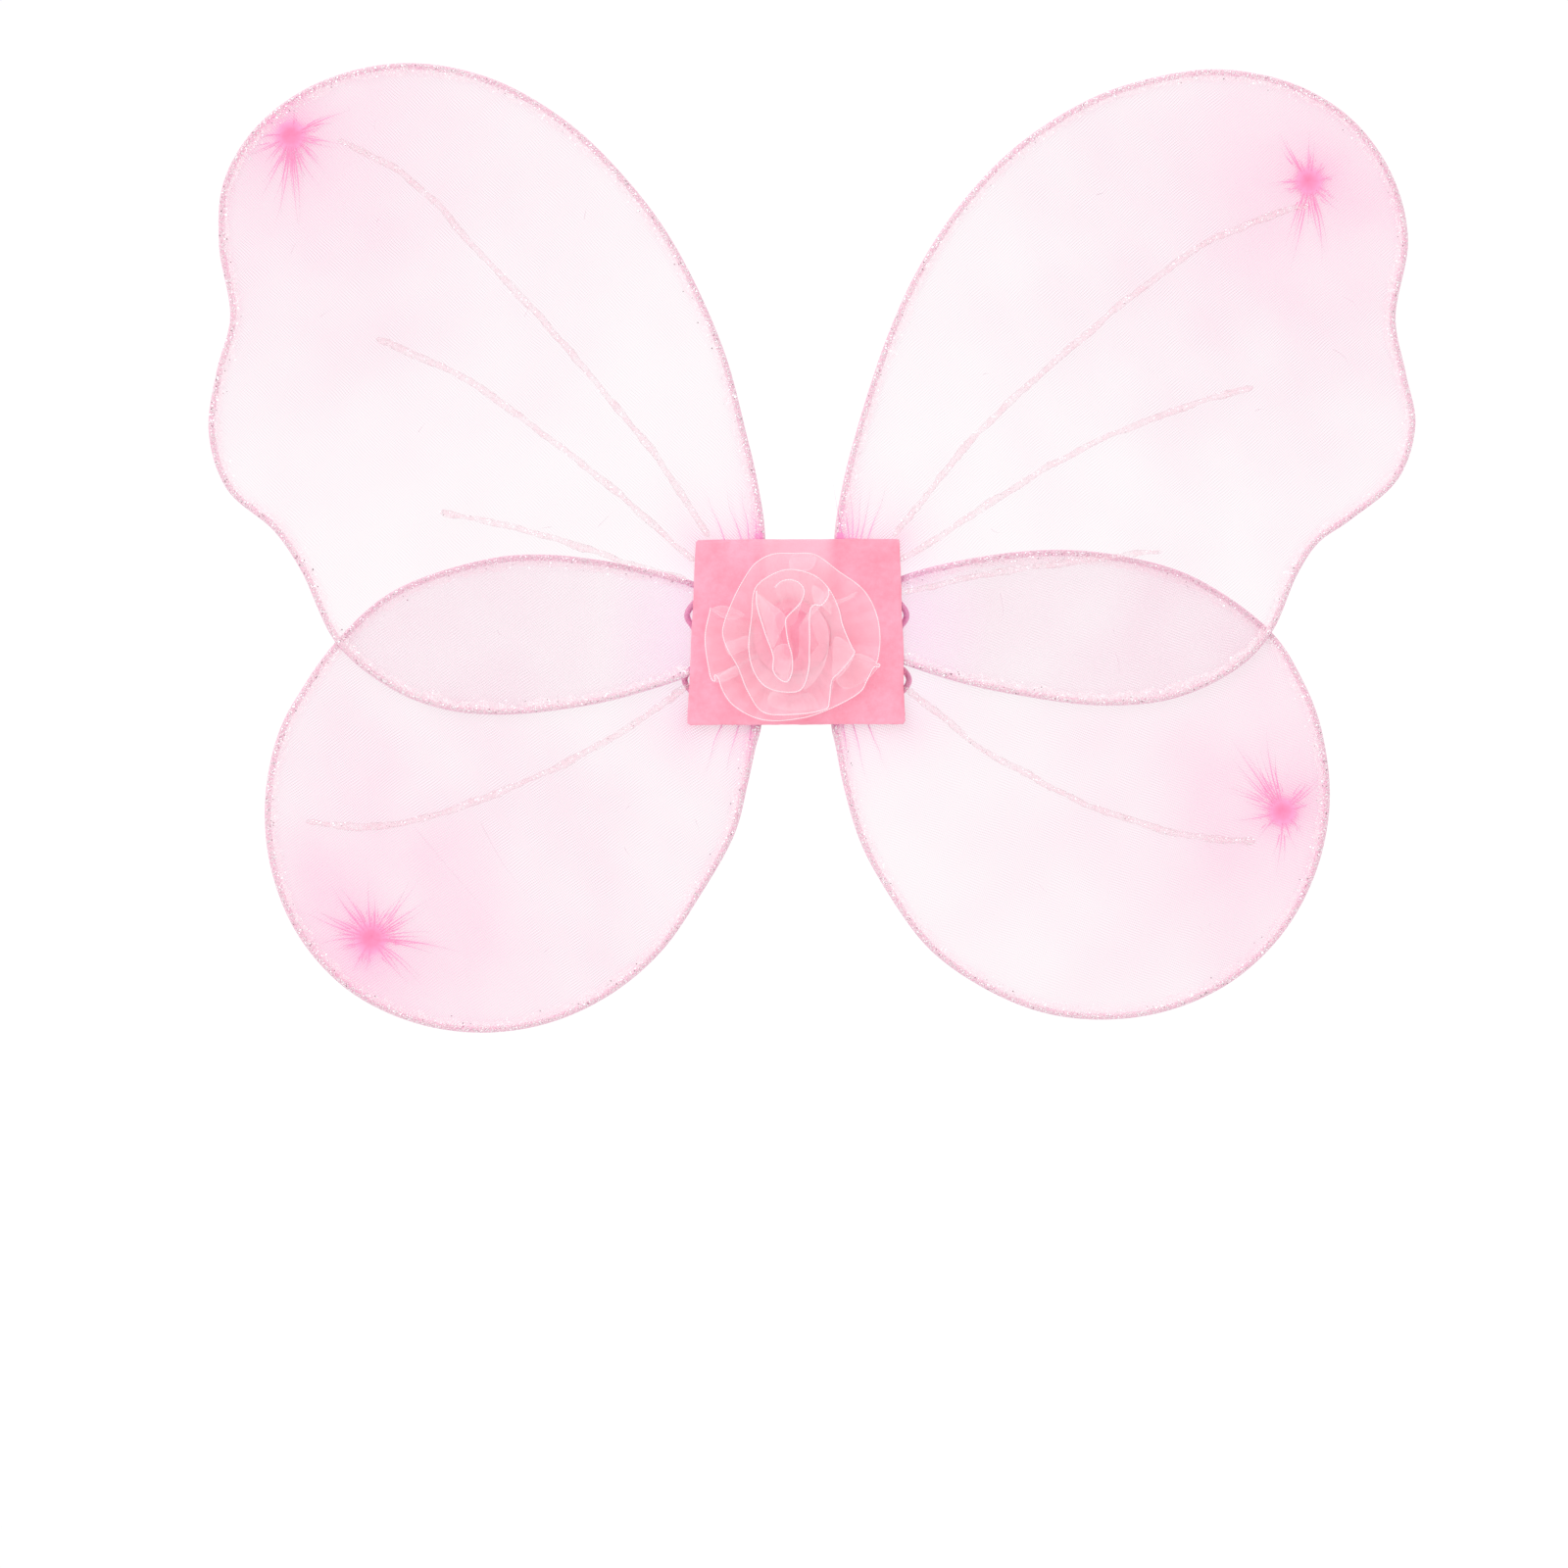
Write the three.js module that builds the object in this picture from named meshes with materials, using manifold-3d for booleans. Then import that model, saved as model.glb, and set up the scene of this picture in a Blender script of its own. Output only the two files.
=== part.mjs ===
// Child's costume fairy wings: four wire loops in knitted net sleeves, held between two felt pads,
// with an organza rosette in front and two elastic shoulder straps behind.
// Millimetres, +Z up, the front faces -Y. The origin is the middle of the rear pad's back face.
import * as THREE from "three";
import { mergeVertices } from "three/addons/utils/BufferGeometryUtils.js";
import Module from "manifold-3d";

const wasm = await Module();
wasm.setup();

// Driving dimensions
const GAP = 0.3; // clearance between pieces that touch on the real object
const FELT = 1.0; // thickness of each felt pad
const WIRE = 2.4; // diameter of the fabric-wrapped rim wire
const NET = 0.6; // both layers of a net sleeve together
const SLEEVE_SKIN = 0.1; // how far the sleeve's edge stands outside its wire
const CORD = 2.3; // diameter of the elastic strap
const VEIN_WIDTH = 2.6;
const VEIN = 0.4; // height of a glitter vein
const FOLD_X = 10.5; // the pad folds along x = -FOLD_X and x = +FOLD_X
const FOLD_GAP = 0.4;
const BEND_GAP = 0.8; // half the clearance across a wing's bend line

// Layers through the pad, as the y of each one's middle or face
const REAR_PAD_BACK = 0;
const CORD_LEVEL = REAR_PAD_BACK - FELT - GAP - CORD / 2;
const LOWER_LEVEL = CORD_LEVEL - CORD / 2 - GAP - NET / 2;
const UPPER_LEVEL = LOWER_LEVEL - WIRE - GAP;
const FRONT_PAD_BACK = UPPER_LEVEL - WIRE / 2 - GAP;
const ROSETTE_BACK = FRONT_PAD_BACK - FELT - GAP;

// The pad is a trapezoid, slightly out of square, as [x, z] corners
const PAD = {
  topLeft: [-38.6, 35.2], topRight: [39.3, 35.6],
  lowRight: [41.4, -35.2], lowLeft: [-41.8, -35.6],
};

// Each wing's outer edge runs from where it leaves the pad near the middle to where it leaves the
// pad's side; tail is the wire's V inside the pad, and bend is the line on which the wing bends.
const WINGS = {
  upper_left: {
    level: UPPER_LEVEL,
    edge: [[-12, 35.6], [-15, 57.5], [-19.2, 75.7], [-28, 108], [-46.2, 147], [-63.6, 171.2], [-87.8, 194.8],
      [-118, 211.7], [-151, 217], [-182.5, 209.6], [-206, 193], [-218.6, 172], [-220.5, 148], [-216.2, 120],
      [-221.5, 99], [-224.4, 76], [-217.5, 54.5], [-199.5, 38.5], [-189.5, 24], [-175.3, -4.9],
      [-154.7, -21.7], [-136, -29.2], [-113.5, -31.6], [-79.8, -28.1], [-57.3, -22.5], [-41.4, -17.2]],
    tail: [[-24, -10], [-17.2, -2], [-14.6, 10]],
    bend: [[-21.5, 74], [-80, -27]],
    knot: [-192.9, 189.2],
    veins: [[[-175.3, 187.3], [-154.7, 177.9], [-143, 168.5], [-117.3, 140.5], [-91, 112.4], [-72.3, 89.9],
      [-53, 66]],
      [[-160.3, 112], [-124.7, 95.5], [-98.5, 76.8], [-72.3, 56.2], [-56, 42]],
      [[-136, 45.7], [-106, 39.3], [-79.8, 31.8], [-62, 25]]],
  },
  upper_right: {
    level: UPPER_LEVEL,
    edge: [[14.2, 35.6], [17, 54.3], [21.6, 73], [33.6, 110.5], [45.2, 136.7], [61.1, 161.6], [83, 184.8],
      [112.5, 203.7], [140, 212.4], [163, 214.6], [190.9, 208.6], [212.4, 195], [227, 174.5], [233.2, 150],
      [228.4, 119.5], [232.5, 98], [236, 79], [229.5, 58.5], [211, 42.5], [199, 34], [191.1, 22.2],
      [181.3, 0], [169.3, -13.1], [145, -25.1], [116.9, -28.1], [85, -24.3], [62.6, -19.5], [41.2, -12.7]],
    tail: [[25, -7], [18.2, 0], [15.4, 12]],
    bend: [[22.5, 73], [80, -23.5]],
    knot: [195.2, 171.6],
    veins: [[[195.5, 162.5], [182.4, 159.2], [154.3, 147.2], [126.2, 126.6], [96.3, 101.1], [70, 76.8],
      [55, 59]],
      [[174.2, 93.6], [148.7, 86.2], [107.5, 69.3], [70, 46.8], [58, 39]],
      [[139.3, 30.7], [107.5, 27.3], [70, 21.4], [62, 20]]],
  },
  lower_left: {
    level: LOWER_LEVEL,
    edge: [[-13.5, -36], [-15.4, -43.1], [-18.7, -58.1], [-23.6, -76.8], [-36.6, -100.2], [-51.9, -122.2],
      [-72, -139], [-95.7, -149.6], [-121.6, -153], [-147.7, -148.7], [-171.7, -136.5], [-190, -116.5],
      [-200.5, -91.6], [-203.1, -64.8], [-197.9, -38.4], [-188, -20], [-176.4, -4.1], [-154.7, 15.4],
      [-117.3, 28.1], [-94.8, 29.6], [-61, 25.1], [-39.7, 19.5]],
    tail: [[-24, 12], [-17.2, 3], [-14.2, -10]],
    bend: [[-23.5, -76.5], [-84, 28.5]],
    knot: [-162.2, -116.9],
    veins: [[[-187.3, -72.3], [-166, -74.5], [-139.7, -70], [-117.3, -62.6], [-94.8, -53.2], [-72.3, -41.2],
      [-56, -31]]],
  },
  lower_right: {
    level: LOWER_LEVEL,
    edge: [[13.1, -36], [14.6, -43], [17.6, -58.1], [24.2, -80.2], [35, -100.2], [50.8, -121.3],
      [71.6, -136.1], [94.6, -145.5], [119.1, -148], [143.7, -144], [166.6, -133.1], [185.5, -115.1], [198.2, -91.6],
      [203.5, -64.7], [200.2, -36.6], [193, -18], [181.3, 0], [152.5, 20.6], [126.2, 28.8], [100, 31.5],
      [70, 28.8], [40.5, 21.7]],
    tail: [[25, 14], [18, 5], [14.8, -9]],
    bend: [[22.3, -77], [84, 30.5]],
    knot: [185.4, -68.6],
    veins: [[[174.9, -80.2], [145, -76.8], [107.5, -64.4], [70, -43.8], [58, -34.5]]],
  },
};

// Straps: each leaves the pad's side edge at two places and is put away in a tied hank behind the flap
const HANK = { x: 27, z: -5, halfLength: 20, lobe: 8.3, waist: 4.4, back: 1.6, thickness: 9.2 };
const UPPER_LEAD = [
  [37.4, -2.45, 13.2], [40, -2.45, 10.2], [41.4, -1.88, 8.3], [41.95, -0.5, 6.4], [41.4, 0.88, 4.5],
  [40, 1.47, 2.6], [38.2, 2.15, -0.8], [36.7, 2.9, -4.6],
];
const LOWER_LEAD = [
  [37.9, -2.45, -25.2], [40.85, -2.45, -22], [42.33, -1.88, -20.1], [42.9, -0.5, -18.2], [42.33, 1, -16.3],
  [41, 2.7, -14.6], [39, 4.9, -12.9], [36.9, 7, -11.4],
];

const MATERIALS = {
  felt: new THREE.MeshStandardMaterial({ color: 0xf98fab, roughness: 0.95 }),
  wire: new THREE.MeshStandardMaterial({ color: 0xf3a9c4, roughness: 0.6 }),
  net: new THREE.MeshStandardMaterial({ color: 0xf9d3e2, roughness: 0.8, transparent: true, opacity: 0.45 }),
  gather: new THREE.MeshStandardMaterial({ color: 0xf2519b, roughness: 0.8 }),
  glitter: new THREE.MeshStandardMaterial({ color: 0xf2b8c0, roughness: 0.3, metalness: 0.3 }),
  organza: new THREE.MeshStandardMaterial({ color: 0xfa8fb0, roughness: 0.5 }),
  elastic: new THREE.MeshStandardMaterial({ color: 0xdf9aa8, roughness: 0.8 }),
  tie: new THREE.MeshStandardMaterial({ color: 0xf4f0f0, roughness: 0.7 }),
};

const wings = new THREE.Group();

function add(name, material, geometry) {
  const mesh = new THREE.Mesh(geometry, material);
  mesh.name = name;
  wings.add(mesh);
}

function merged(geometry) {
  geometry.deleteAttribute("normal");
  geometry.deleteAttribute("uv");
  return mergeVertices(geometry, 1e-4);
}

function solid(geometry) {
  const g = merged(geometry);
  const vertProperties = Float32Array.from(g.attributes.position.array);
  const triVerts = Uint32Array.from(g.index.array);
  return new wasm.Manifold(new wasm.Mesh({ numProp: 3, vertProperties, triVerts }));
}

function geometryOf(manifold) {
  const { vertProperties, triVerts } = manifold.getMesh();
  const g = new THREE.BufferGeometry();
  g.setAttribute("position", new THREE.BufferAttribute(vertProperties, 3));
  g.setIndex(new THREE.BufferAttribute(triVerts, 1));
  g.computeVertexNormals();
  return g;
}

// A flat piece in the plane of the wings: an outline of [x, z] points, its front, and its thickness
function plate(outline, back, thickness) {
  const shape = new THREE.Shape(outline.map(([x, z]) => new THREE.Vector2(x, z)));
  const g = new THREE.ExtrudeGeometry(shape, { depth: thickness, bevelEnabled: false });
  return g.rotateX(Math.PI / 2).translate(0, back, 0);
}

function tube(path, diameter, steps) {
  const SIDES = 8;
  const ring = [...Array(SIDES).keys()].map((k) => {
    const a = (2 * Math.PI * (k + 0.5)) / SIDES;
    return new THREE.Vector2((diameter / 2) * Math.cos(a), (diameter / 2) * Math.sin(a));
  });
  return new THREE.ExtrudeGeometry(new THREE.Shape(ring), { steps, extrudePath: path, bevelEnabled: false });
}

// Everything on one side of a wing's bend line: side +1 is the wing, -1 is the pad
function halfSpace(bend, side) {
  const SIZE = 900;
  const [a, b] = bend.map(([x, z]) => new THREE.Vector2(x, z));
  const along = b.clone().sub(a).normalize();
  const away = new THREE.Vector2(along.y, -along.x);
  if (away.dot(a) < 0) away.negate();
  const middle = a.clone().add(b).multiplyScalar(0.5).addScaledVector(away, side * (BEND_GAP + SIZE / 2));
  const box = new THREE.BoxGeometry(SIZE, SIZE, SIZE);
  box.rotateY(-Math.atan2(along.y, along.x)).translate(middle.x, 0, middle.y);
  return solid(box);
}

// Points moved towards the inside of a closed curve of [x, z] points
function inset(points, distance) {
  const n = points.length;
  const area = points.reduce((sum, [x, z], k) => {
    const [x2, z2] = points[(k + 1) % n];
    return sum + (x * z2 - x2 * z) / 2;
  }, 0);
  return points.map(([x, z], k) => {
    const [ax, az] = points[(k + n - 1) % n];
    const [bx, bz] = points[(k + 1) % n];
    const t = new THREE.Vector2(bx - ax, bz - az).normalize().multiplyScalar(distance * Math.sign(area));
    return [x - t.y, z + t.x];
  });
}

function closedCurve(points, y) {
  return new THREE.CatmullRomCurve3(points.map(([x, z]) => new THREE.Vector3(x, y, z)), true, "centripetal");
}

// A stretch of a closed curve from share a to share b of its length, where b may pass 1
class Stretch extends THREE.Curve {
  constructor(whole, a, b) {
    super();
    Object.assign(this, { whole, a, b });
  }
  getPoint(t, target = new THREE.Vector3()) {
    return target.copy(this.whole.getPointAt((this.a + (this.b - this.a) * t) % 1));
  }
}

// The shares of a closed curve's length at which it crosses the bend line
function crossings(curve, bend) {
  const SAMPLES = 600;
  const [[ax, az], [bx, bz]] = bend;
  const side = (u) => {
    const p = curve.getPointAt(u);
    return Math.sign((bx - ax) * (p.z - az) - (bz - az) * (p.x - ax));
  };
  const starts = [...Array(SAMPLES - 1).keys()].map((k) => k / SAMPLES);
  return starts.filter((u) => side(u) !== side(u + 1 / SAMPLES));
}

function addWing(name, { level, edge, tail, bend, knot, veins }) {
  const OVERRUN = 0.012;
  const wire = closedCurve([...inset([...edge, ...tail], SLEEVE_SKIN + WIRE / 2)], level);
  wire.arcLengthDivisions = 1200;
  const [first, last] = crossings(wire, bend);
  const beyond = halfSpace(bend, 1);
  const within = halfSpace(bend, -1);
  const loop = solid(tube(new Stretch(wire, first - OVERRUN, last + OVERRUN), WIRE, 72));
  const root = solid(tube(new Stretch(wire, last - OVERRUN, first + 1 + OVERRUN), WIRE, 34));
  add(`${name}_wire_loop`, MATERIALS.wire, geometryOf(loop.intersect(beyond)));
  add(`${name}_wire_tail`, MATERIALS.wire, geometryOf(root.intersect(within)));

  const rim = wire.getSpacedPoints(110).slice(0, -1).map((p) => [p.x, p.z]);
  const net = solid(plate(inset(rim, WIRE / 2 + GAP), level + NET / 2, NET));
  add(`${name}_net_panel`, MATERIALS.net, geometryOf(net.intersect(beyond)));
  add(`${name}_net_root`, MATERIALS.net, geometryOf(net.intersect(within)));

  veins.forEach((route, k) => {
    const label = veins.length > 1 ? `${name}_glitter_vein_${k + 1}` : `${name}_glitter_vein`;
    add(label, MATERIALS.glitter, plate(ribbon(route, VEIN_WIDTH), level - NET / 2 - GAP, VEIN));
  });
  add(`${name}_gather_knot`, MATERIALS.gather, gatherKnot(knot, level + NET / 2 + GAP));
}

// The outline of a flat strip of even width along a route
function ribbon(route, width) {
  const places = route.map(([x, z]) => new THREE.Vector3(x, 0, z));
  const curve = new THREE.CatmullRomCurve3(places, false, "centripetal");
  const SAMPLES = 14;
  const edgeOf = (side) => [...Array(SAMPLES + 1).keys()].map((k) => {
    const p = curve.getPointAt(k / SAMPLES);
    const t = curve.getTangentAt(k / SAMPLES);
    return [p.x - t.z * side * (width / 2), p.z + t.x * side * (width / 2)];
  });
  return [...edgeOf(1), ...edgeOf(-1).reverse()];
}

// The end of the net tube, bunched and bound on the wing's back
function gatherKnot([x, z], front) {
  const profile = [[0, 0], [3.1, 0], [3.5, 0.9], [2.3, 1.8], [2.3, 2.5], [3.3, 3.6], [2.6, 4.2], [0, 4.2]];
  const g = new THREE.LatheGeometry(profile.map(([r, y]) => new THREE.Vector2(r, y)), 16);
  return g.translate(x, front, z);
}

// The pad's top and bottom edges are straight between its corners
function padEdge([xa, za], [xb, zb], x) {
  return [x, za + ((zb - za) * (x - xa)) / (xb - xa)];
}

function padPiece(from, to) {
  const top = (x) => padEdge(PAD.topLeft, PAD.topRight, x);
  const low = (x) => padEdge(PAD.lowLeft, PAD.lowRight, x);
  const left = from === null ? [PAD.lowLeft, PAD.topLeft] : [low(from), top(from)];
  const right = to === null ? [PAD.topRight, PAD.lowRight] : [top(to), low(to)];
  return [...left, ...right];
}

function addPads() {
  const [near, far] = [FOLD_X - FOLD_GAP, FOLD_X + FOLD_GAP];
  const strips = { left: [null, -far], centre: [-near, near], right: [far, null] };
  for (const [where, [from, to]] of Object.entries(strips)) {
    add(`front_pad_${where}`, MATERIALS.felt, plate(padPiece(from, to), FRONT_PAD_BACK, FELT));
    add(`rear_pad_${where}`, MATERIALS.felt, plate(padPiece(from, to), REAR_PAD_BACK, FELT));
  }
}

// A ring of gathered ribbon: a closed profile of [radius, height] turned round the rosette's axis, with folds
function ruffle(profile, folds, depth) {
  const SEGMENTS = 40;
  const g = new THREE.LatheGeometry(profile.map(([r, y]) => new THREE.Vector2(r, -y)), SEGMENTS);
  const p = g.attributes.position;
  const reach = Math.max(...profile.map(([r]) => r));
  for (let k = 0; k < p.count; k += 1) {
    const r = Math.hypot(p.getX(k), p.getZ(k));
    const wave = 1 + (depth * (r / reach) ** 2 * Math.sin(folds * Math.atan2(p.getZ(k), p.getX(k)))) / reach;
    p.setXYZ(k, p.getX(k) * wave, p.getY(k), p.getZ(k) * wave);
  }
  return g.translate(-1.5, ROSETTE_BACK, -1.5);
}

function addRosette() {
  add("rosette_backing", MATERIALS.organza, ruffle([[0, 0.8], [15, 0.8], [15, 0], [0, 0]], 0, 0));
  add("rosette_outer_ruffle", MATERIALS.organza,
    ruffle([[11, 1.2], [11, 3.4], [23, 5], [32, 8.4], [32.6, 6.6], [23, 2.6], [11, 1.2]], 5, 1.2));
  add("rosette_middle_ruffle", MATERIALS.organza,
    ruffle([[7.5, 4], [7.5, 8], [15, 10], [22.5, 12.6], [23, 9.6], [15, 6.4], [7.5, 4]], 4, 0.9));
  add("rosette_bud", MATERIALS.organza,
    ruffle([[0, 14], [6, 14.4], [11.5, 13.4], [11.8, 11], [6.8, 8.6], [6.8, 1.2], [0, 1.2]], 3, 0.5));
}

function strapCurve(points, mirror) {
  const places = points.map(([x, y, z]) => new THREE.Vector3(mirror * x, y, z));
  return new THREE.CatmullRomCurve3(places, false, "centripetal");
}

// A dog-bone outline: two lobes and the waist that the tie pulls in
function hankOutline(mirror) {
  const { x, z, halfLength, lobe, waist } = HANK;
  const reach = halfLength - lobe;
  const corners = [
    [0, halfLength], [lobe, reach], [waist, 0], [lobe, -reach],
    [0, -halfLength], [-lobe, -reach], [-waist, 0], [-lobe, reach],
  ];
  const curve = closedCurve(corners.map(([dx, dz]) => [mirror * x + dx, z + dz]), 0);
  return curve.getSpacedPoints(48).slice(0, -1).map((p) => [p.x, p.z]);
}

// A band round the hank's waist, 1 mm thick and 4 mm long
function tieBand(mirror) {
  const WALL = 1;
  const LENGTH = 4;
  const { x, z, waist, back, thickness } = HANK;
  const rectangle = (grow) => {
    const w = waist + 1.1 + grow;
    const [near, far] = [back - GAP - grow, back + thickness + GAP + grow];
    const corners = [[-w, near], [w, near], [w, far], [-w, far]];
    return corners.map(([dx, y]) => new THREE.Vector2(mirror * x + dx, y));
  };
  const shape = new THREE.Shape(rectangle(WALL));
  shape.holes.push(new THREE.Path(rectangle(0)));
  const band = new THREE.ExtrudeGeometry(shape, { depth: LENGTH, bevelEnabled: false });
  return band.translate(0, 0, z - LENGTH / 2);
}

function addStrap(side, mirror) {
  add(`${side}_strap_upper_lead`, MATERIALS.elastic, tube(strapCurve(UPPER_LEAD, mirror), CORD, 12));
  add(`${side}_strap_lower_lead`, MATERIALS.elastic, tube(strapCurve(LOWER_LEAD, mirror), CORD, 12));
  const wound = plate(hankOutline(mirror), HANK.back + HANK.thickness, HANK.thickness);
  add(`${side}_strap_hank`, MATERIALS.elastic, wound);
  add(`${side}_strap_tie`, MATERIALS.tie, tieBand(mirror));
}

for (const [name, wing] of Object.entries(WINGS)) addWing(name, wing);
addPads();
addRosette();
addStrap("left", -1);
addStrap("right", 1);

export default wings;
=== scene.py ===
"""Looks of the fairy wings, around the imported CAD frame. Lengths are millimetres until a mesh is made."""
import math

import bpy
import numpy as np
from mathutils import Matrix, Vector
from mathutils.geometry import delaunay_2d_cdt


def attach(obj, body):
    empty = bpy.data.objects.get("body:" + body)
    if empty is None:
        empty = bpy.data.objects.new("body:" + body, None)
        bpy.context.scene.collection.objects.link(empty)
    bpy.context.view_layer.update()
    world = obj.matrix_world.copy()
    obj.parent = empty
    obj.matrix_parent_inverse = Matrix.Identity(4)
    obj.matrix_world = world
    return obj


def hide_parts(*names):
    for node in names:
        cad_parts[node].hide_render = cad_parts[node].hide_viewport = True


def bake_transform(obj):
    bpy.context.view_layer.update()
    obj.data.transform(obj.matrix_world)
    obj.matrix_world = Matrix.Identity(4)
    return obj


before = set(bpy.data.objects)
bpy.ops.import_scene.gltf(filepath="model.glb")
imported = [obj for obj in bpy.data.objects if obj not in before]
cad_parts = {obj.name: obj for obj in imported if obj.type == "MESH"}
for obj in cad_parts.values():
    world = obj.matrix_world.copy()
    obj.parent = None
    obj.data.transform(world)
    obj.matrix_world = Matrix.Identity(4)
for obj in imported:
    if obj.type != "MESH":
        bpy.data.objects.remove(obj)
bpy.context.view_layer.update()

MM = 0.001
TAU = 2 * math.pi

# ---------------------------------------------------------------------------------------------
# Camera, floor and light

VIEW_CENTRE = (-0.0049, -0.058)  # x and z, in metres, at the middle of the picture
VIEW_WIDTH = 0.5994
DISTANCE = 3.0
SENSOR = 36.0

camera = bpy.data.objects.new("camera", bpy.data.cameras.new("camera"))
bpy.context.collection.objects.link(camera)
camera.location = (VIEW_CENTRE[0], -DISTANCE, VIEW_CENTRE[1])
camera.rotation_euler = (math.pi / 2, 0, 0)
camera.data.sensor_width = SENSOR
camera.data.lens = SENSOR * DISTANCE / VIEW_WIDTH
camera.data.clip_end = 50
bpy.context.scene.camera = camera
bpy.context.scene.view_settings.view_transform = "Standard"
bpy.context.scene.cycles.transparent_max_bounces = 32  # sheer layers lie up to ten deep

world = bpy.data.worlds.new("studio")
world.use_nodes = True
world.node_tree.nodes["Background"].inputs["Color"].default_value = (1, 1, 1, 1)
world.node_tree.nodes["Background"].inputs["Strength"].default_value = 1.02
bpy.context.scene.world = world


def add_sun(name, energy, width, tilt):
    """A broad soft light. width and tilt are in degrees."""
    sun = bpy.data.objects.new(name, bpy.data.lights.new(name, "SUN"))
    sun.data.energy = energy
    sun.data.angle = math.radians(width)
    sun.rotation_euler = [math.radians(a) for a in tilt]
    bpy.context.collection.objects.link(sun)


add_sun("softbox", 0.75, 35, (52, -12, -24))
add_sun("rear_fill", 0.5, 60, (-56, 12, 16))


def plain_material(name, colour, roughness):
    m = bpy.data.materials.new(name)
    m.use_nodes = True
    b = m.node_tree.nodes["Principled BSDF"]
    b.inputs["Base Color"].default_value = (*colour, 1)
    b.inputs["Roughness"].default_value = roughness
    return m


def add_floor():
    RADIUS, DROP, SIDES = 1.1, 0.44, 96
    angles = [TAU * k / SIDES for k in range(SIDES)]
    ring = [(RADIUS * math.cos(a), RADIUS * math.sin(a), -DROP) for a in angles]
    mesh = bpy.data.meshes.new("floor")
    mesh.from_pydata(ring, [], [list(range(SIDES))])
    mesh.materials.append(plain_material("pale_floor", (0.81, 0.81, 0.81), 0.9))
    floor = bpy.data.objects.new("floor", mesh)
    bpy.context.collection.objects.link(floor)


add_floor()

# ---------------------------------------------------------------------------------------------
# Dimensions shared with the CAD

WIRE = 2.4
SKIN = 1.3  # how far a sleeve's outside stands from its wire's middle
CORD = 2.3
FELT = 1.0
UPPER_LEVEL = -6.9
LOWER_LEVEL = -4.2
FRONT_PAD_BACK = -8.4
ROSETTE_BACK = -9.7
# The pad's corners: top left, top right, low right, low left
PAD = [(-38.6, 35.2), (39.3, 35.6), (41.4, -35.2), (-41.8, -35.6)]

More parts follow.
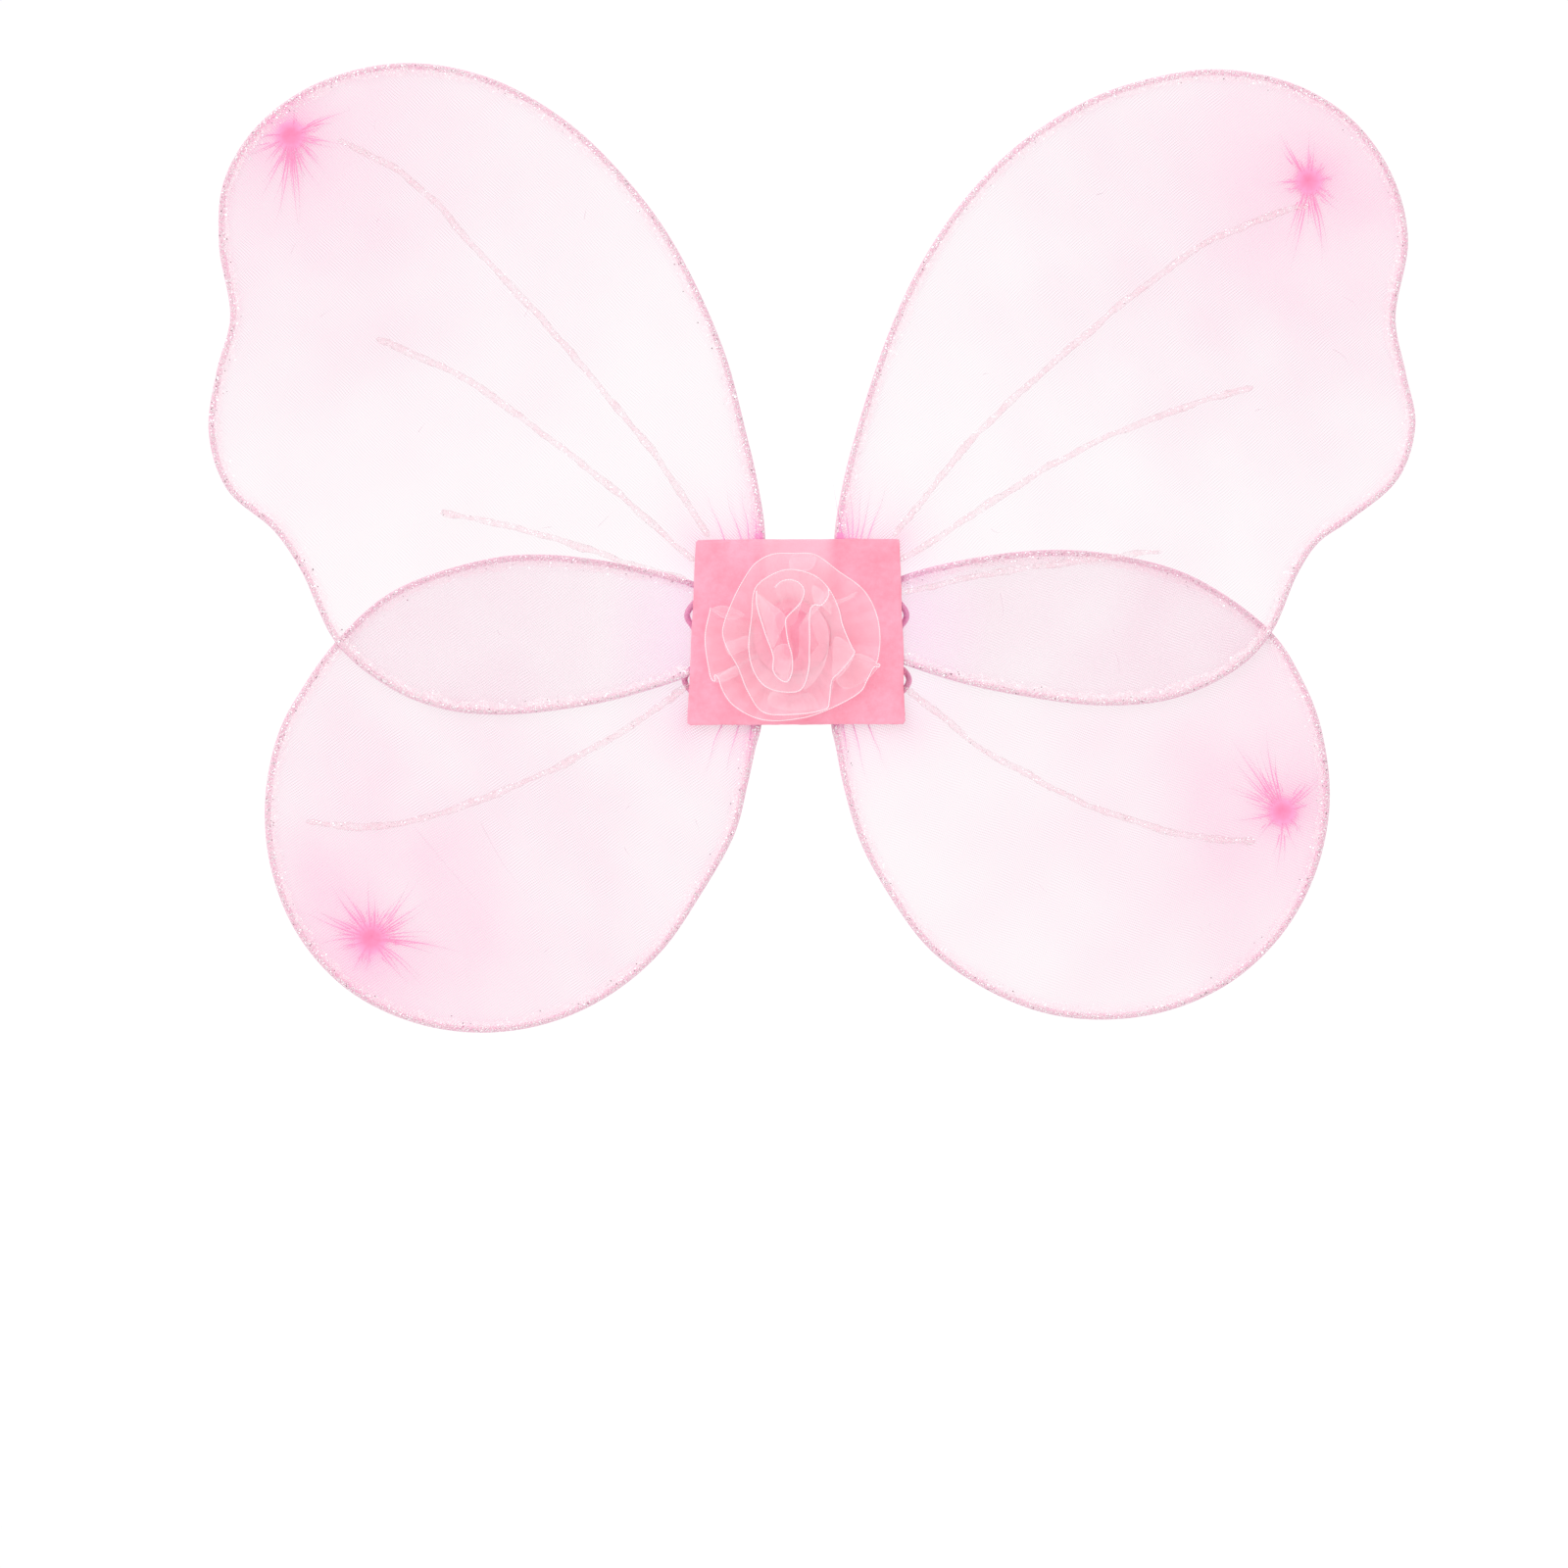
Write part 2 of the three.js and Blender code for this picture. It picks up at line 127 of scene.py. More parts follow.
WINGS = {
    "upper_left": dict(
        level=UPPER_LEVEL,
        edge=[
            (-12, 35.6), (-15, 57.5), (-19.2, 75.7), (-28, 108), (-46.2, 147), (-63.6, 171.2),
            (-87.8, 194.8), (-118, 211.7), (-151, 217), (-182.5, 209.6), (-206, 193), (-218.6, 172),
            (-220.5, 148), (-216.2, 120), (-221.5, 99), (-224.4, 76), (-217.5, 54.5), (-199.5, 38.5),
            (-189.5, 24), (-175.3, -4.9), (-154.7, -21.7), (-136, -29.2), (-113.5, -31.6), (-79.8, -28.1),
            (-57.3, -22.5), (-41.4, -17.2),
        ],
        tail=[(-24, -10), (-17.2, -2), (-14.6, 10)],
        bend=[(-21.5, 74), (-80, -27)],
        knot=(-192.9, 189.2),
        streaks=[
            (28, 25, 1.0), (14, 16, 0.5), (78, 9, 0.4), (176, 13, 0.45), (205, 20, 0.4), (222, 16, 0.35),
            (247, 26, 0.8), (258, 30, 0.7), (266, 34, 0.8), (272, 36, 0.8), (281, 33, 0.9), (291, 22, 0.6),
            (318, 20, 0.5), (340, 18, 0.5), (352, 24, 0.4),
        ],
        veins=[
            [(-175.3, 187.3), (-154.7, 177.9), (-143, 168.5), (-117.3, 140.5), (-91, 112.4), (-72.3, 89.9),
             (-53, 66), (-33.8, 35.9)],
            [(-160.3, 112), (-124.7, 95.5), (-98.5, 76.8), (-72.3, 56.2), (-56, 42), (-39, 27)],
            [(-136, 45.7), (-106, 39.3), (-79.8, 31.8), (-62, 25), (-42, 20)],
        ],
        pleats=[(-15.5, 97), (-18, 101), (-21, 106), (-27, 114)],
        pulls=[
            [(-104, 120), (-101, 126)], [(-76, 40), (-70, 46)], [(-182, 120), (-176, 124)],
            [(-193, 144), (-190, 151)],
        ],
    ),
    "upper_right": dict(
        level=UPPER_LEVEL,
        edge=[
            (14.2, 35.6), (17, 54.3), (21.6, 73), (33.6, 110.5), (45.2, 136.7), (61.1, 161.6), (83, 184.8),
            (112.5, 203.7), (140, 212.4), (163, 214.6), (190.9, 208.6), (212.4, 195), (227, 174.5),
            (233.2, 150), (228.4, 119.5), (232.5, 98), (236, 79), (229.5, 58.5), (211, 42.5), (199, 34),
            (191.1, 22.2), (181.3, 0), (169.3, -13.1), (145, -25.1), (116.9, -28.1), (85, -24.3),
            (62.6, -19.5), (41.2, -12.7),
        ],
        tail=[(25, -7), (18.2, 0), (15.4, 12)],
        bend=[(22.5, 73), (80, -23.5)],
        knot=(195.2, 171.6),
        streaks=[
            (126, 22, 1.0), (112, 12, 0.4), (92, 20, 0.5), (78, 16, 0.4), (48, 9, 0.35), (10, 12, 0.4),
            (332, 14, 0.45), (312, 16, 0.5), (287, 33, 0.9), (276, 28, 0.6), (262, 34, 0.9), (247, 26, 0.7),
            (205, 12, 0.4), (178, 16, 0.5),
        ],
        veins=[
            [(195.5, 162.5), (182.4, 159.2), (154.3, 147.2), (126.2, 126.6), (96.3, 101.1), (70, 76.8),
             (55, 59), (37.1, 36.1)],
            [(174.2, 93.6), (148.7, 86.2), (107.5, 69.3), (70, 46.8), (58, 39), (39, 27)],
            [(139.3, 30.7), (107.5, 27.3), (70, 21.4), (62, 20), (40.5, 14.9)],
        ],
        pleats=[(20.2, 97), (21.4, 92), (22.6, 86), (24.2, 79), (26.8, 70), (17.6, 99)],
        pulls=[
            [(77.5, 15), (78.6, 8), (77.5, 2)], [(121.4, -7.5), (123, -14), (121.4, -20.6)],
            [(208, 128), (212.4, 125.5), (215, 121)], [(204, 108), (208.7, 104.9), (211, 100)],
        ],
    ),
    "lower_left": dict(
        level=LOWER_LEVEL,
        edge=[
            (-13.5, -36), (-15.4, -43.1), (-18.7, -58.1), (-23.6, -76.8), (-36.6, -100.2), (-51.9, -122.2),
            (-72, -139), (-95.7, -149.6), (-121.6, -153), (-147.7, -148.7), (-171.7, -136.5),
            (-190, -116.5), (-200.5, -91.6), (-203.1, -64.8), (-197.9, -38.4), (-188, -20), (-176.4, -4.1),
            (-154.7, 15.4), (-117.3, 28.1), (-94.8, 29.6), (-61, 25.1), (-39.7, 19.5),
        ],
        tail=[(-24, 12), (-17.2, 3), (-14.2, -10)],
        bend=[(-84, 28.5), (-23.5, -76.5)],
        knot=(-162.2, -116.9),
        streaks=[
            (357, 34, 1.0), (350, 26, 0.7), (12, 22, 0.5), (24, 24, 0.6), (36, 28, 0.7), (47, 30, 0.5),
            (62, 20, 0.5), (80, 18, 0.6), (97, 22, 0.5), (116, 24, 0.7), (134, 26, 0.7), (150, 24, 0.7),
            (164, 28, 0.7), (178, 22, 0.5), (200, 16, 0.4), (238, 16, 0.5), (262, 14, 0.4), (304, 22, 0.6),
            (322, 26, 0.5),
        ],
        veins=[
            [(-187.3, -72.3), (-166, -74.5), (-139.7, -70), (-117.3, -62.6), (-94.8, -53.2), (-72.3, -41.2),
             (-56, -31), (-41, -20)],
        ],
        pleats=[(-17, 262), (-22, 256), (-28, 250)],
        pulls=[
            [(-147.2, -73), (-126, -98), (-100.4, -127.4)], [(-121, -72.3), (-111, -90), (-98.5, -104.9)],
            [(-66, -82), (-63.5, -86)], [(-39, -71), (-37, -76)],
        ],
    ),
    "lower_right": dict(
        level=LOWER_LEVEL,
        edge=[
            (13.1, -36), (14.6, -43), (17.6, -58.1), (24.2, -80.2), (35, -100.2), (50.8, -121.3),
            (71.6, -136.1), (94.6, -145.5), (119.1, -148), (143.7, -144), (166.6, -133.1), (185.5, -115.1),
            (198.2, -91.6), (203.5, -64.7), (200.2, -36.6), (193, -18), (181.3, 0), (152.5, 20.6),
            (126.2, 28.8), (100, 31.5), (70, 28.8), (40.5, 21.7),
        ],
        tail=[(25, 14), (18, 5), (14.8, -9)],
        bend=[(22.3, -77), (84, 30.5)],
        knot=(185.4, -68.6),
        streaks=[
            (127, 34, 0.9), (118, 28, 0.7), (108, 32, 0.8), (98, 24, 0.5), (137, 28, 0.7), (150, 24, 0.5),
            (168, 16, 0.4), (40, 22, 0.5), (52, 18, 0.4), (14, 14, 0.4), (195, 20, 0.4), (222, 14, 0.4),
            (268, 24, 0.6), (284, 16, 0.4), (316, 12, 0.4),
        ],
        veins=[[(174.9, -80.2), (145, -76.8), (107.5, -64.4), (70, -43.8), (58, -34.5), (41.5, -21)]],
        pleats=[(17, 278), (21, 284), (27, 292)],
        pulls=[[(92, -96), (97, -101)], [(140, -20), (146, -24)]],
    ),
}
SIDES = {"left": -1, "right": 1}

# The right strap's routes from its upper exit to the hank, and from its lower exit to the hank
UPPER_LEAD = [
    (37.4, -2.45, 13.2), (40, -2.45, 10.2), (41.4, -1.88, 8.3), (41.95, -0.5, 6.4), (41.4, 0.88, 4.5),
    (40, 1.47, 2.6), (38.2, 2.15, -0.8), (36.7, 2.9, -4.6),
]
LOWER_LEAD = [
    (37.9, -2.45, -25.2), (40.85, -2.45, -22), (42.33, -1.88, -20.1), (42.9, -0.5, -18.2),
    (42.33, 1, -16.3), (41, 2.7, -14.6), (39, 4.9, -12.9), (36.9, 7, -11.4),
]
HANK = dict(x=27, z=-5, half_length=18.85, lobe=7.15, waist=3.3, back=1.6, layer=2.4, turns=3)

# ---------------------------------------------------------------------------------------------
# Curves and meshes


def catmull(points, closed=False, steps=24):
    """A centripetal Catmull-Rom curve through points, the one that the CAD uses."""
    p = np.asarray(points, float)
    p = np.vstack([p[-1], p, p[0], p[1]]) if closed else np.vstack([2 * p[0] - p[1], p, 2 * p[-1] - p[-2]])
    t = np.linspace(0, 1, steps, endpoint=False)[:, None]
    out = []
    for a, b, c, d in zip(p, p[1:], p[2:], p[3:]):
        ab, bc, cd = (max(np.linalg.norm(v) ** 0.5, 1e-9) for v in (b - a, c - b, d - c))
        into = bc * ((b - a) / ab - (c - a) / (ab + bc) + (c - b) / bc)
        out_of = bc * ((c - b) / bc - (d - b) / (bc + cd) + (d - c) / cd)
        out.append((2 * t**3 - 3 * t**2 + 1) * b + (t**3 - 2 * t**2 + t) * into
                   + (3 * t**2 - 2 * t**3) * c + (t**3 - t**2) * out_of)
    return np.vstack(out if closed else out + [p[-2:-1]])


def even(curve, spacing, closed=False):
    """The curve's points moved to about this spacing, and the whole length."""
    c = np.vstack([curve, curve[:1]]) if closed else curve
    at = np.concatenate([[0], np.cumsum(np.linalg.norm(np.diff(c, axis=0), axis=1))])
    count = max(3, int(round(at[-1] / spacing)))
    s = np.linspace(0, at[-1], count + 1)[: count if closed else None]
    return np.stack([np.interp(s, at, c[:, k]) for k in range(c.shape[1])], 1), at[-1]


def unit(v):
    return v / np.linalg.norm(v, axis=-1, keepdims=True)


def heading(angle):
    """The direction at an angle in a plane."""
    return np.array([math.cos(angle), math.sin(angle)])


def left_of(v):
    """Directions in a plane, turned a quarter turn to the left."""
    return np.stack([-v[..., 1], v[..., 0]], -1)


def area_of(outline):
    """The area of a closed outline, positive where it runs to the left round its middle."""
    after = np.roll(outline, -1, 0)
    return (outline[:, 0] * after[:, 1] - after[:, 0] * outline[:, 1]).sum() / 2


def inwards_of(outline):
    """The direction into a closed outline at each of its points."""
    along = unit(np.roll(outline, -1, 0) - np.roll(outline, 1, 0))
    return left_of(along) * np.sign(area_of(outline))


def inset(points, distance):
    """Points of a closed outline moved inwards."""
    p = np.asarray(points, float)
    return p + inwards_of(p) * distance


def placed(flat, y):
    """Points in space from points (x, z) of a plane and their y."""
    return np.stack([flat[:, 0], np.broadcast_to(y, len(flat)), flat[:, 1]], 1)


def distance_to(points, line, closed=False):
    """How far each point is from a polyline, all in two dimensions."""
    a = np.asarray(line, float)
    b = np.roll(a, -1, 0)
    if not closed:
        a, b = a[:-1], b[:-1]
    best = np.full(len(points), 1e9)
    for start, end in zip(a, b):
        d = end - start
        t = np.clip(((points - start) @ d) / max(d @ d, 1e-12), 0, 1)
        best = np.minimum(best, np.linalg.norm(points - start - t[:, None] * d, axis=1))
    return best


def inside(points, outline):
    """Which points lie in a closed outline."""
    a, b = outline, np.roll(outline, -1, 0)
    hit = np.zeros(len(points), bool)
    for (ax, az), (bx, bz) in zip(a, b):
        crosses = (az > points[:, 1]) != (bz > points[:, 1])
        with np.errstate(divide="ignore", invalid="ignore"):
            hit ^= crosses & (points[:, 0] < (bx - ax) * (points[:, 1] - az) / (bz - az) + ax)
    return hit


def new_object(name, verts, faces, material, smooth=True, uv=None, **attributes):
    """A mesh object from millimetre points. attributes are floats or colours, one for each vertex."""
    mesh = bpy.data.meshes.new(name)
    mesh.from_pydata((np.asarray(verts, float) * MM).tolist(), [], [list(map(int, f)) for f in faces])
    for label, values in attributes.items():
        values = np.asarray(values, np.float32)
        if values.ndim == 1:
            mesh.attributes.new(label, "FLOAT", "POINT").data.foreach_set("value", values)
        else:
            mesh.attributes.new(label, "FLOAT_COLOR", "POINT").data.foreach_set("color", values.ravel())
    if uv is not None:
        index = np.zeros(len(mesh.loops), np.int32)
        mesh.loops.foreach_get("vertex_index", index)
        layer = mesh.uv_layers.new(name="weave")
        layer.data.foreach_set("uv", np.asarray(uv, np.float32)[index].ravel())
    mesh.polygons.foreach_set("use_smooth", [smooth] * len(mesh.polygons))
    mesh.materials.append(material)
    obj = bpy.data.objects.new(name, mesh)
    bpy.context.collection.objects.link(obj)
    return obj


def frames_along(path, closed=False):
    """Two cross directions at each point of a path, turning as little as they can."""
    t = np.roll(path, -1, 0) - np.roll(path, 1, 0)
    if not closed:
        t[0], t[-1] = path[1] - path[0], path[-1] - path[-2]
    t = unit(t)
    n = np.zeros_like(t)
    first = np.cross(t[0], (0, 1, 0))
    n[0] = first if np.linalg.norm(first) > 1e-3 else np.cross(t[0], (1, 0, 0))
    for k in range(1, len(t)):
        n[k] = n[k - 1] - t[k] * (n[k - 1] @ t[k])
    n = unit(n)
    return n, np.cross(t, n)


def grid_faces(rows, columns, ring=False, tube=False, flip=False):
    """Quads between points kept row by row. ring joins the last row to the first, tube the last column."""
    faces = []
    for i in range(rows if ring else rows - 1):
        for j in range(columns if tube else columns - 1):
            here, there = i * columns, (i + 1) % rows * columns
            k = (j + 1) % columns
            quad = (here + j, here + k, there + k, there + j)
            faces.append((quad[0], *quad[:0:-1]) if flip else quad)
    return faces


def slab_faces(triangles, count, rings, ring, flip):
    """Two layers of count points each, back to back, joined at their edge by bands between rings."""
    faces = [list(f) for f in triangles] + [[i + count for i in reversed(f)] for f in triangles]
    for a, b in zip(rings, rings[1:]):
        for i in range(ring):
            j = (i + 1) % ring
            quad = (a + i, b + i, b + j, a + j)
            faces.append(quad[::-1] if flip else quad)
    return faces


def tube_arrays(path, radius, sides, closed=False):
    """Vertices, faces and weave coordinates of a tube. radius may differ from point to point."""
    n, b = frames_along(path, closed)
    radius = np.broadcast_to(radius, len(path))
    a = TAU * np.arange(sides) / sides
    ring = n[:, None] * np.cos(a)[None, :, None] + b[:, None] * np.sin(a)[None, :, None]
    verts = (path[:, None] + ring * radius[:, None, None]).reshape(-1, 3)
    rows = len(path)
    faces = grid_faces(rows, sides, ring=closed, tube=True, flip=True)
    if not closed:
        faces += [list(range(sides)), [(rows - 1) * sides + s for s in reversed(range(sides))]]
    along = np.concatenate([[0], np.cumsum(np.linalg.norm(np.diff(path, axis=0), axis=1))])
    uv = np.stack([np.repeat(along, sides), np.tile(a * float(np.mean(radius)), rows)], 1)
    return verts, faces, uv


def join_arrays(parts):
    """Several (vertices, faces) as one."""
    verts, faces, start = [], [], 0
    for v, f in parts:
        verts.append(np.asarray(v, float))
        faces += [[i + start for i in face] for face in f]
        start += len(v)
    return np.vstack(verts), faces


# ---------------------------------------------------------------------------------------------
# Materials


class Nodes:
    """A material and short ways to add and join its nodes."""

    def __init__(self, name, colour, roughness, sheen=None):
        self.material = plain_material(name, colour, roughness)
        self.tree = self.material.node_tree
        self.shader = self.tree.nodes["Principled BSDF"]
        if sheen:
            for label, value in zip(("Sheen Weight", "Sheen Roughness", "Sheen Tint"), sheen):
                self.shader.inputs[label].default_value = value

    def node(self, kind, settings=(), **inputs):
        n = self.tree.nodes.new(kind)
        for key, value in dict(settings).items():
            setattr(n, key, value)
        for key, value in inputs.items():
            numbered = key[0] == "i" and key[1:].isdigit()
            self.feed(n.inputs[int(key[1:]) if numbered else key.replace("_", " ")], value)
        return n

    def feed(self, socket, value):
        """Give a socket a value, or link another node's output to it."""
        if isinstance(value, bpy.types.NodeSocket):
            self.tree.links.new(value, socket)
        else:
            socket.default_value = value

    def math(self, operation, *values):
        inputs = {f"i{k}": v for k, v in enumerate(values)}
        return self.node("ShaderNodeMath", {"operation": operation}, **inputs).outputs[0]

    def mix(self, factor, a, b, blend="MIX"):
        settings = {"data_type": "RGBA", "blend_type": blend}
        return self.node("ShaderNodeMix", settings, i0=factor, i6=a, i7=b).outputs[2]

    def ramp(self, factor, *stops):
        n = self.node("ShaderNodeValToRGB", Fac=factor)
        e = n.color_ramp.elements
        while len(e) < len(stops):
            e.new(0.5)
        for element, (at, colour) in zip(e, stops):
            element.position, element.color = at, (*colour, 1)
        return n.outputs[0]

    def attribute(self, name, output=2):
        return self.node("ShaderNodeAttribute", {"attribute_name": name}).outputs[output]

    def object_noise(self, scale, detail=3):
        where = self.node("ShaderNodeTexCoord").outputs["Object"]
        return self.node("ShaderNodeTexNoise", Vector=where, Scale=scale, Detail=detail).outputs[0]

    def weave(self):
        uv = self.node("ShaderNodeUVMap", {"uv_map": "weave"}).outputs[0]
        xyz = self.node("ShaderNodeSeparateXYZ", Vector=uv)
        return xyz.outputs[0], xyz.outputs[1]

    def stripes(self, value, pitch, sharpness=1.0):
        """Lines from 0 to 1 across value, one each pitch."""
        wave = self.math("SINE", self.math("MULTIPLY", value, TAU / pitch))
        return self.math("POWER", self.math("MULTIPLY_ADD", wave, 0.5, 0.5), sharpness)

    def bump(self, height, strength, distance):
        n = self.node("ShaderNodeBump", Height=height, Strength=strength, Distance=distance)
        self.link(n.outputs[0], "Normal")

    def link(self, output, label):
        self.tree.links.new(output, self.shader.inputs[label])


def net_material():
    """Fine knitted nylon: wales and courses of thread with gaps, denser where density is high."""
    m = Nodes("sheer_net", (0.98, 0.50, 0.72), 0.55)
    u, v = m.weave()
    wander = m.math("MULTIPLY", m.math("SUBTRACT", m.object_noise(70, 2), 0.5), 2.4)
    wale = m.stripes(m.math("ADD", u, wander), 0.95, 2.2)
    course = m.stripes(m.math("SUBTRACT", v, wander), 0.7, 3.0)
    thread = m.math("ADD", m.math("MULTIPLY_ADD", wale, 0.5, 0.64), m.math("MULTIPLY", course, 0.38))
    cloud = m.math("MULTIPLY_ADD", m.object_noise(22, 3), 0.7, 0.65)
    density = m.attribute("closeness")
    cover = m.math("MULTIPLY", m.math("MULTIPLY", thread, cloud), density)
    solid = m.math("MAXIMUM", m.math("MULTIPLY_ADD", density, 1.5, -0.62), 0.0)
    m.link(m.node("ShaderNodeClamp", Value=m.math("ADD", cover, solid), Max=0.86).outputs[0], "Alpha")
    where = m.node("ShaderNodeTexCoord").outputs["Object"]
    out = m.node("ShaderNodeVectorMath", {"operation": "LENGTH"}, i0=where).outputs["Value"]
    fading = dict(From_Min=0.04, From_Max=0.075, To_Min=1.0, To_Max=0.0)
    near = m.node("ShaderNodeMapRange", Value=out, **fading).outputs[0]
    high = m.math("ABSOLUTE", m.node("ShaderNodeSeparateXYZ", Vector=where).outputs["Z"])
    off_level = m.node("ShaderNodeMapRange", Value=high, From_Min=0.022, From_Max=0.036).outputs[0]
    by_pad = m.mix(off_level, (0.85, 0.24, 0.63, 1), (0.95, 0.38, 0.60, 1))
    sheer = m.mix(near, (0.75, 0.44, 0.57, 1), by_pad)
    gathered = m.mix(m.node("ShaderNodeMapRange", Value=density, From_Min=0.45, From_Max=1.05).outputs[0],
                     (1.0, 0.38, 0.66, 1), (1.0, 0.27, 0.50, 1))
    gathered = m.mix(m.math("MULTIPLY", near, 0.4), gathered, (0.90, 0.27, 0.68, 1))
    share = m.node("ShaderNodeClamp", Value=m.math("MULTIPLY_ADD", density, 1.7, -0.1)).outputs[0]
    colour = m.mix(share, sheer, gathered)
    m.link(colour, "Base Color")
    return m.material


def rim_material():
    """Satin wrap on the rim wire, in slanted turns."""
    m = Nodes("wrapped_rim", (0.95, 0.58, 0.70), 0.45)
    u, v = m.weave()
    turn = m.stripes(m.math("ADD", u, m.math("MULTIPLY", v, 0.6)), 1.9, 0.7)
    shade = m.math("ADD", m.math("MULTIPLY", turn, 0.6), m.math("MULTIPLY", m.object_noise(160), 0.5))
    m.link(m.ramp(shade, (0.15, (0.84, 0.57, 0.67)), (0.8, (0.94, 0.74, 0.81))), "Base Color")
    m.bump(turn, 0.35, 0.0002)
    return m.material


def felt_material():
    """Matt wool felt: matted fibres, slightly uneven dye, and painted light that makes it paler where no net
    lies behind it.
    """
    m = Nodes("pink_felt", (0.84, 0.34, 0.47), 0.95, sheen=(0.25, 0.5, (1.0, 0.75, 0.82, 1)))
    patch = m.object_noise(85, 5)
    fibre = m.object_noise(1500, 4)
    where = m.node("ShaderNodeTexCoord").outputs["Object"]
    stretched = m.node("ShaderNodeMapping", Vector=where, Scale=(420, 900, 2600), Rotation=(0.3, 0.4, 0.7))
    matted = dict(Scale=1.0, Detail=3.0, Distortion=1.6)
    strand = m.node("ShaderNodeTexNoise", Vector=stretched.outputs[0], **matted).outputs[0]
    tuft = m.math("ADD", m.math("MULTIPLY", m.object_noise(420, 3), 0.24), m.math("MULTIPLY", patch, 0.5))
    tone = m.math("ADD", tuft, m.math("MULTIPLY", m.math("ADD", fibre, strand), 0.13))
    colour = m.ramp(tone, (0.36, (0.94, 0.29, 0.40)), (0.5, (0.96, 0.36, 0.48)), (0.66, (0.98, 0.44, 0.575)))
    # Painted light: a paler colour is mixed in by a vertex attribute, in the pad's middle and towards its
    # top
    m.link(m.mix(m.attribute("pale"), colour, (1.0, 0.52, 0.62, 1)), "Base Color")
    m.bump(m.math("ADD", fibre, strand), 0.5, 0.0003)
    return m.material


def organza_material():
    """Crisp sheer ribbon: a fine plain weave, nearly clear face on and brighter where it turns away."""
    m = Nodes("organza", (1.0, 0.72, 0.80), 0.35, sheen=(0.4, 0.3, (1, 0.9, 0.94, 1)))
    u, v = m.weave()
    thread = m.math("MAXIMUM", m.stripes(u, 0.42, 1.4), m.stripes(v, 0.42, 1.4))
    facing = m.node("ShaderNodeLayerWeight", Blend=0.35).outputs["Facing"]
    cover = m.math("ADD", m.math("MULTIPLY_ADD", thread, 0.14, 0.15), m.math("MULTIPLY", facing, 0.2))
    m.link(m.node("ShaderNodeClamp", Value=cover).outputs[0], "Alpha")
    m.link(m.ramp(m.object_noise(90, 2), (0.3, (1.0, 0.66, 0.75)), (0.7, (1.0, 0.80, 0.86))), "Base Color")
    return m.material


def thread_material(name, low, high, pitch=0.9):
    """Twisted thread or overlocking, in light and dark stitches."""
    m = Nodes(name, high, 0.6)
    u, v = m.weave()
    stitch = m.stripes(m.math("ADD", u, m.math("MULTIPLY", v, 0.8)), pitch, 0.8)
    m.link(m.ramp(stitch, (0.1, low), (0.7, high)), "Base Color")
    m.bump(stitch, 0.5, 0.0002)
    return m.material


def elastic_material():
    """Round braided elastic: two families of strands crossing on the slant."""
    m = Nodes("braided_elastic", (0.66, 0.31, 0.38), 0.75, sheen=(0.2, 0.5, (1, 0.85, 0.88, 1)))
    u, v = m.weave()
    one = m.stripes(m.math("ADD", u, v), 0.9, 0.8)
    other = m.stripes(m.math("SUBTRACT", u, v), 0.9, 0.8)
    braid = m.math("MAXIMUM", one, other)
    m.link(m.ramp(braid, (0.35, (0.92, 0.37, 0.50)), (0.95, (0.98, 0.56, 0.68))), "Base Color")
    m.bump(braid, 0.7, 0.0004)
    return m.material


def glue_material():
    """Dried glitter glue: clear pink with uneven specks."""
    m = Nodes("glitter_glue", (0.86, 0.55, 0.62), 0.3)
    speck = m.object_noise(1300, 2)
    blot = m.object_noise(300, 2)
    cover = m.math("MULTIPLY_ADD", m.math("ADD", speck, m.math("MULTIPLY", blot, 0.8)), 0.95, -0.56)
    body = m.node("ShaderNodeClamp", Value=cover, Max=0.75).outputs[0]
    m.link(m.math("MULTIPLY", body, m.attribute("tint", 3)), "Alpha")
    dried = m.ramp(speck, (0.35, (0.95, 0.66, 0.73)), (0.65, (1.0, 0.88, 0.91)))
    m.link(m.mix(1.0, dried, m.attribute("tint", 0), "MULTIPLY"), "Base Color")
    m.bump(speck, 0.4, 0.0002)
    return m.material


def flake_material():
    """Cut glitter: mirror-bright polyester film, each flake in its own tint, the dark flakes' colour a
    painted reflection of dark surroundings.
    """
    m = Nodes("glitter_flakes", (0.9, 0.8, 0.85), 0.22)
    m.shader.inputs["Metallic"].default_value = 0.55
    m.link(m.attribute("tint", 0), "Base Color")
    return m.material


def gathered_material():
    m = Nodes("gathered_net", (0.86, 0.22, 0.50), 0.6, sheen=(0.3, 0.4, (1, 0.8, 0.9, 1)))
    uneven = m.object_noise(700, 3)
    m.link(m.ramp(uneven, (0.3, (0.93, 0.18, 0.38)), (0.7, (0.99, 0.36, 0.56))), "Base Color")
    m.bump(m.object_noise(1600, 2), 0.4, 0.0002)
    return m.material


def tape_material():
    m = Nodes("woven_tape", (0.88, 0.86, 0.86), 0.7)
    u, v = m.weave()
    weave = m.math("MAXIMUM", m.stripes(u, 0.6), m.stripes(v, 0.5))
    m.link(m.ramp(weave, (0.2, (0.74, 0.71, 0.72)), (0.9, (0.93, 0.92, 0.92))), "Base Color")
    m.bump(weave, 0.5, 0.0002)
    return m.material


NET = net_material()
RIM = rim_material()
FELTED = felt_material()
ORGANZA = organza_material()
BEADING = thread_material("white_overlock", (0.98, 0.66, 0.74), (1.0, 0.86, 0.90))
PINK_THREAD = thread_material("pink_thread", (0.72, 0.20, 0.42), (0.92, 0.45, 0.64), 0.5)
ELASTIC = elastic_material()
GLUE = glue_material()
FLAKE = flake_material()
GATHERED = gathered_material()
TAPE = tape_material()

# ---------------------------------------------------------------------------------------------
# Straps


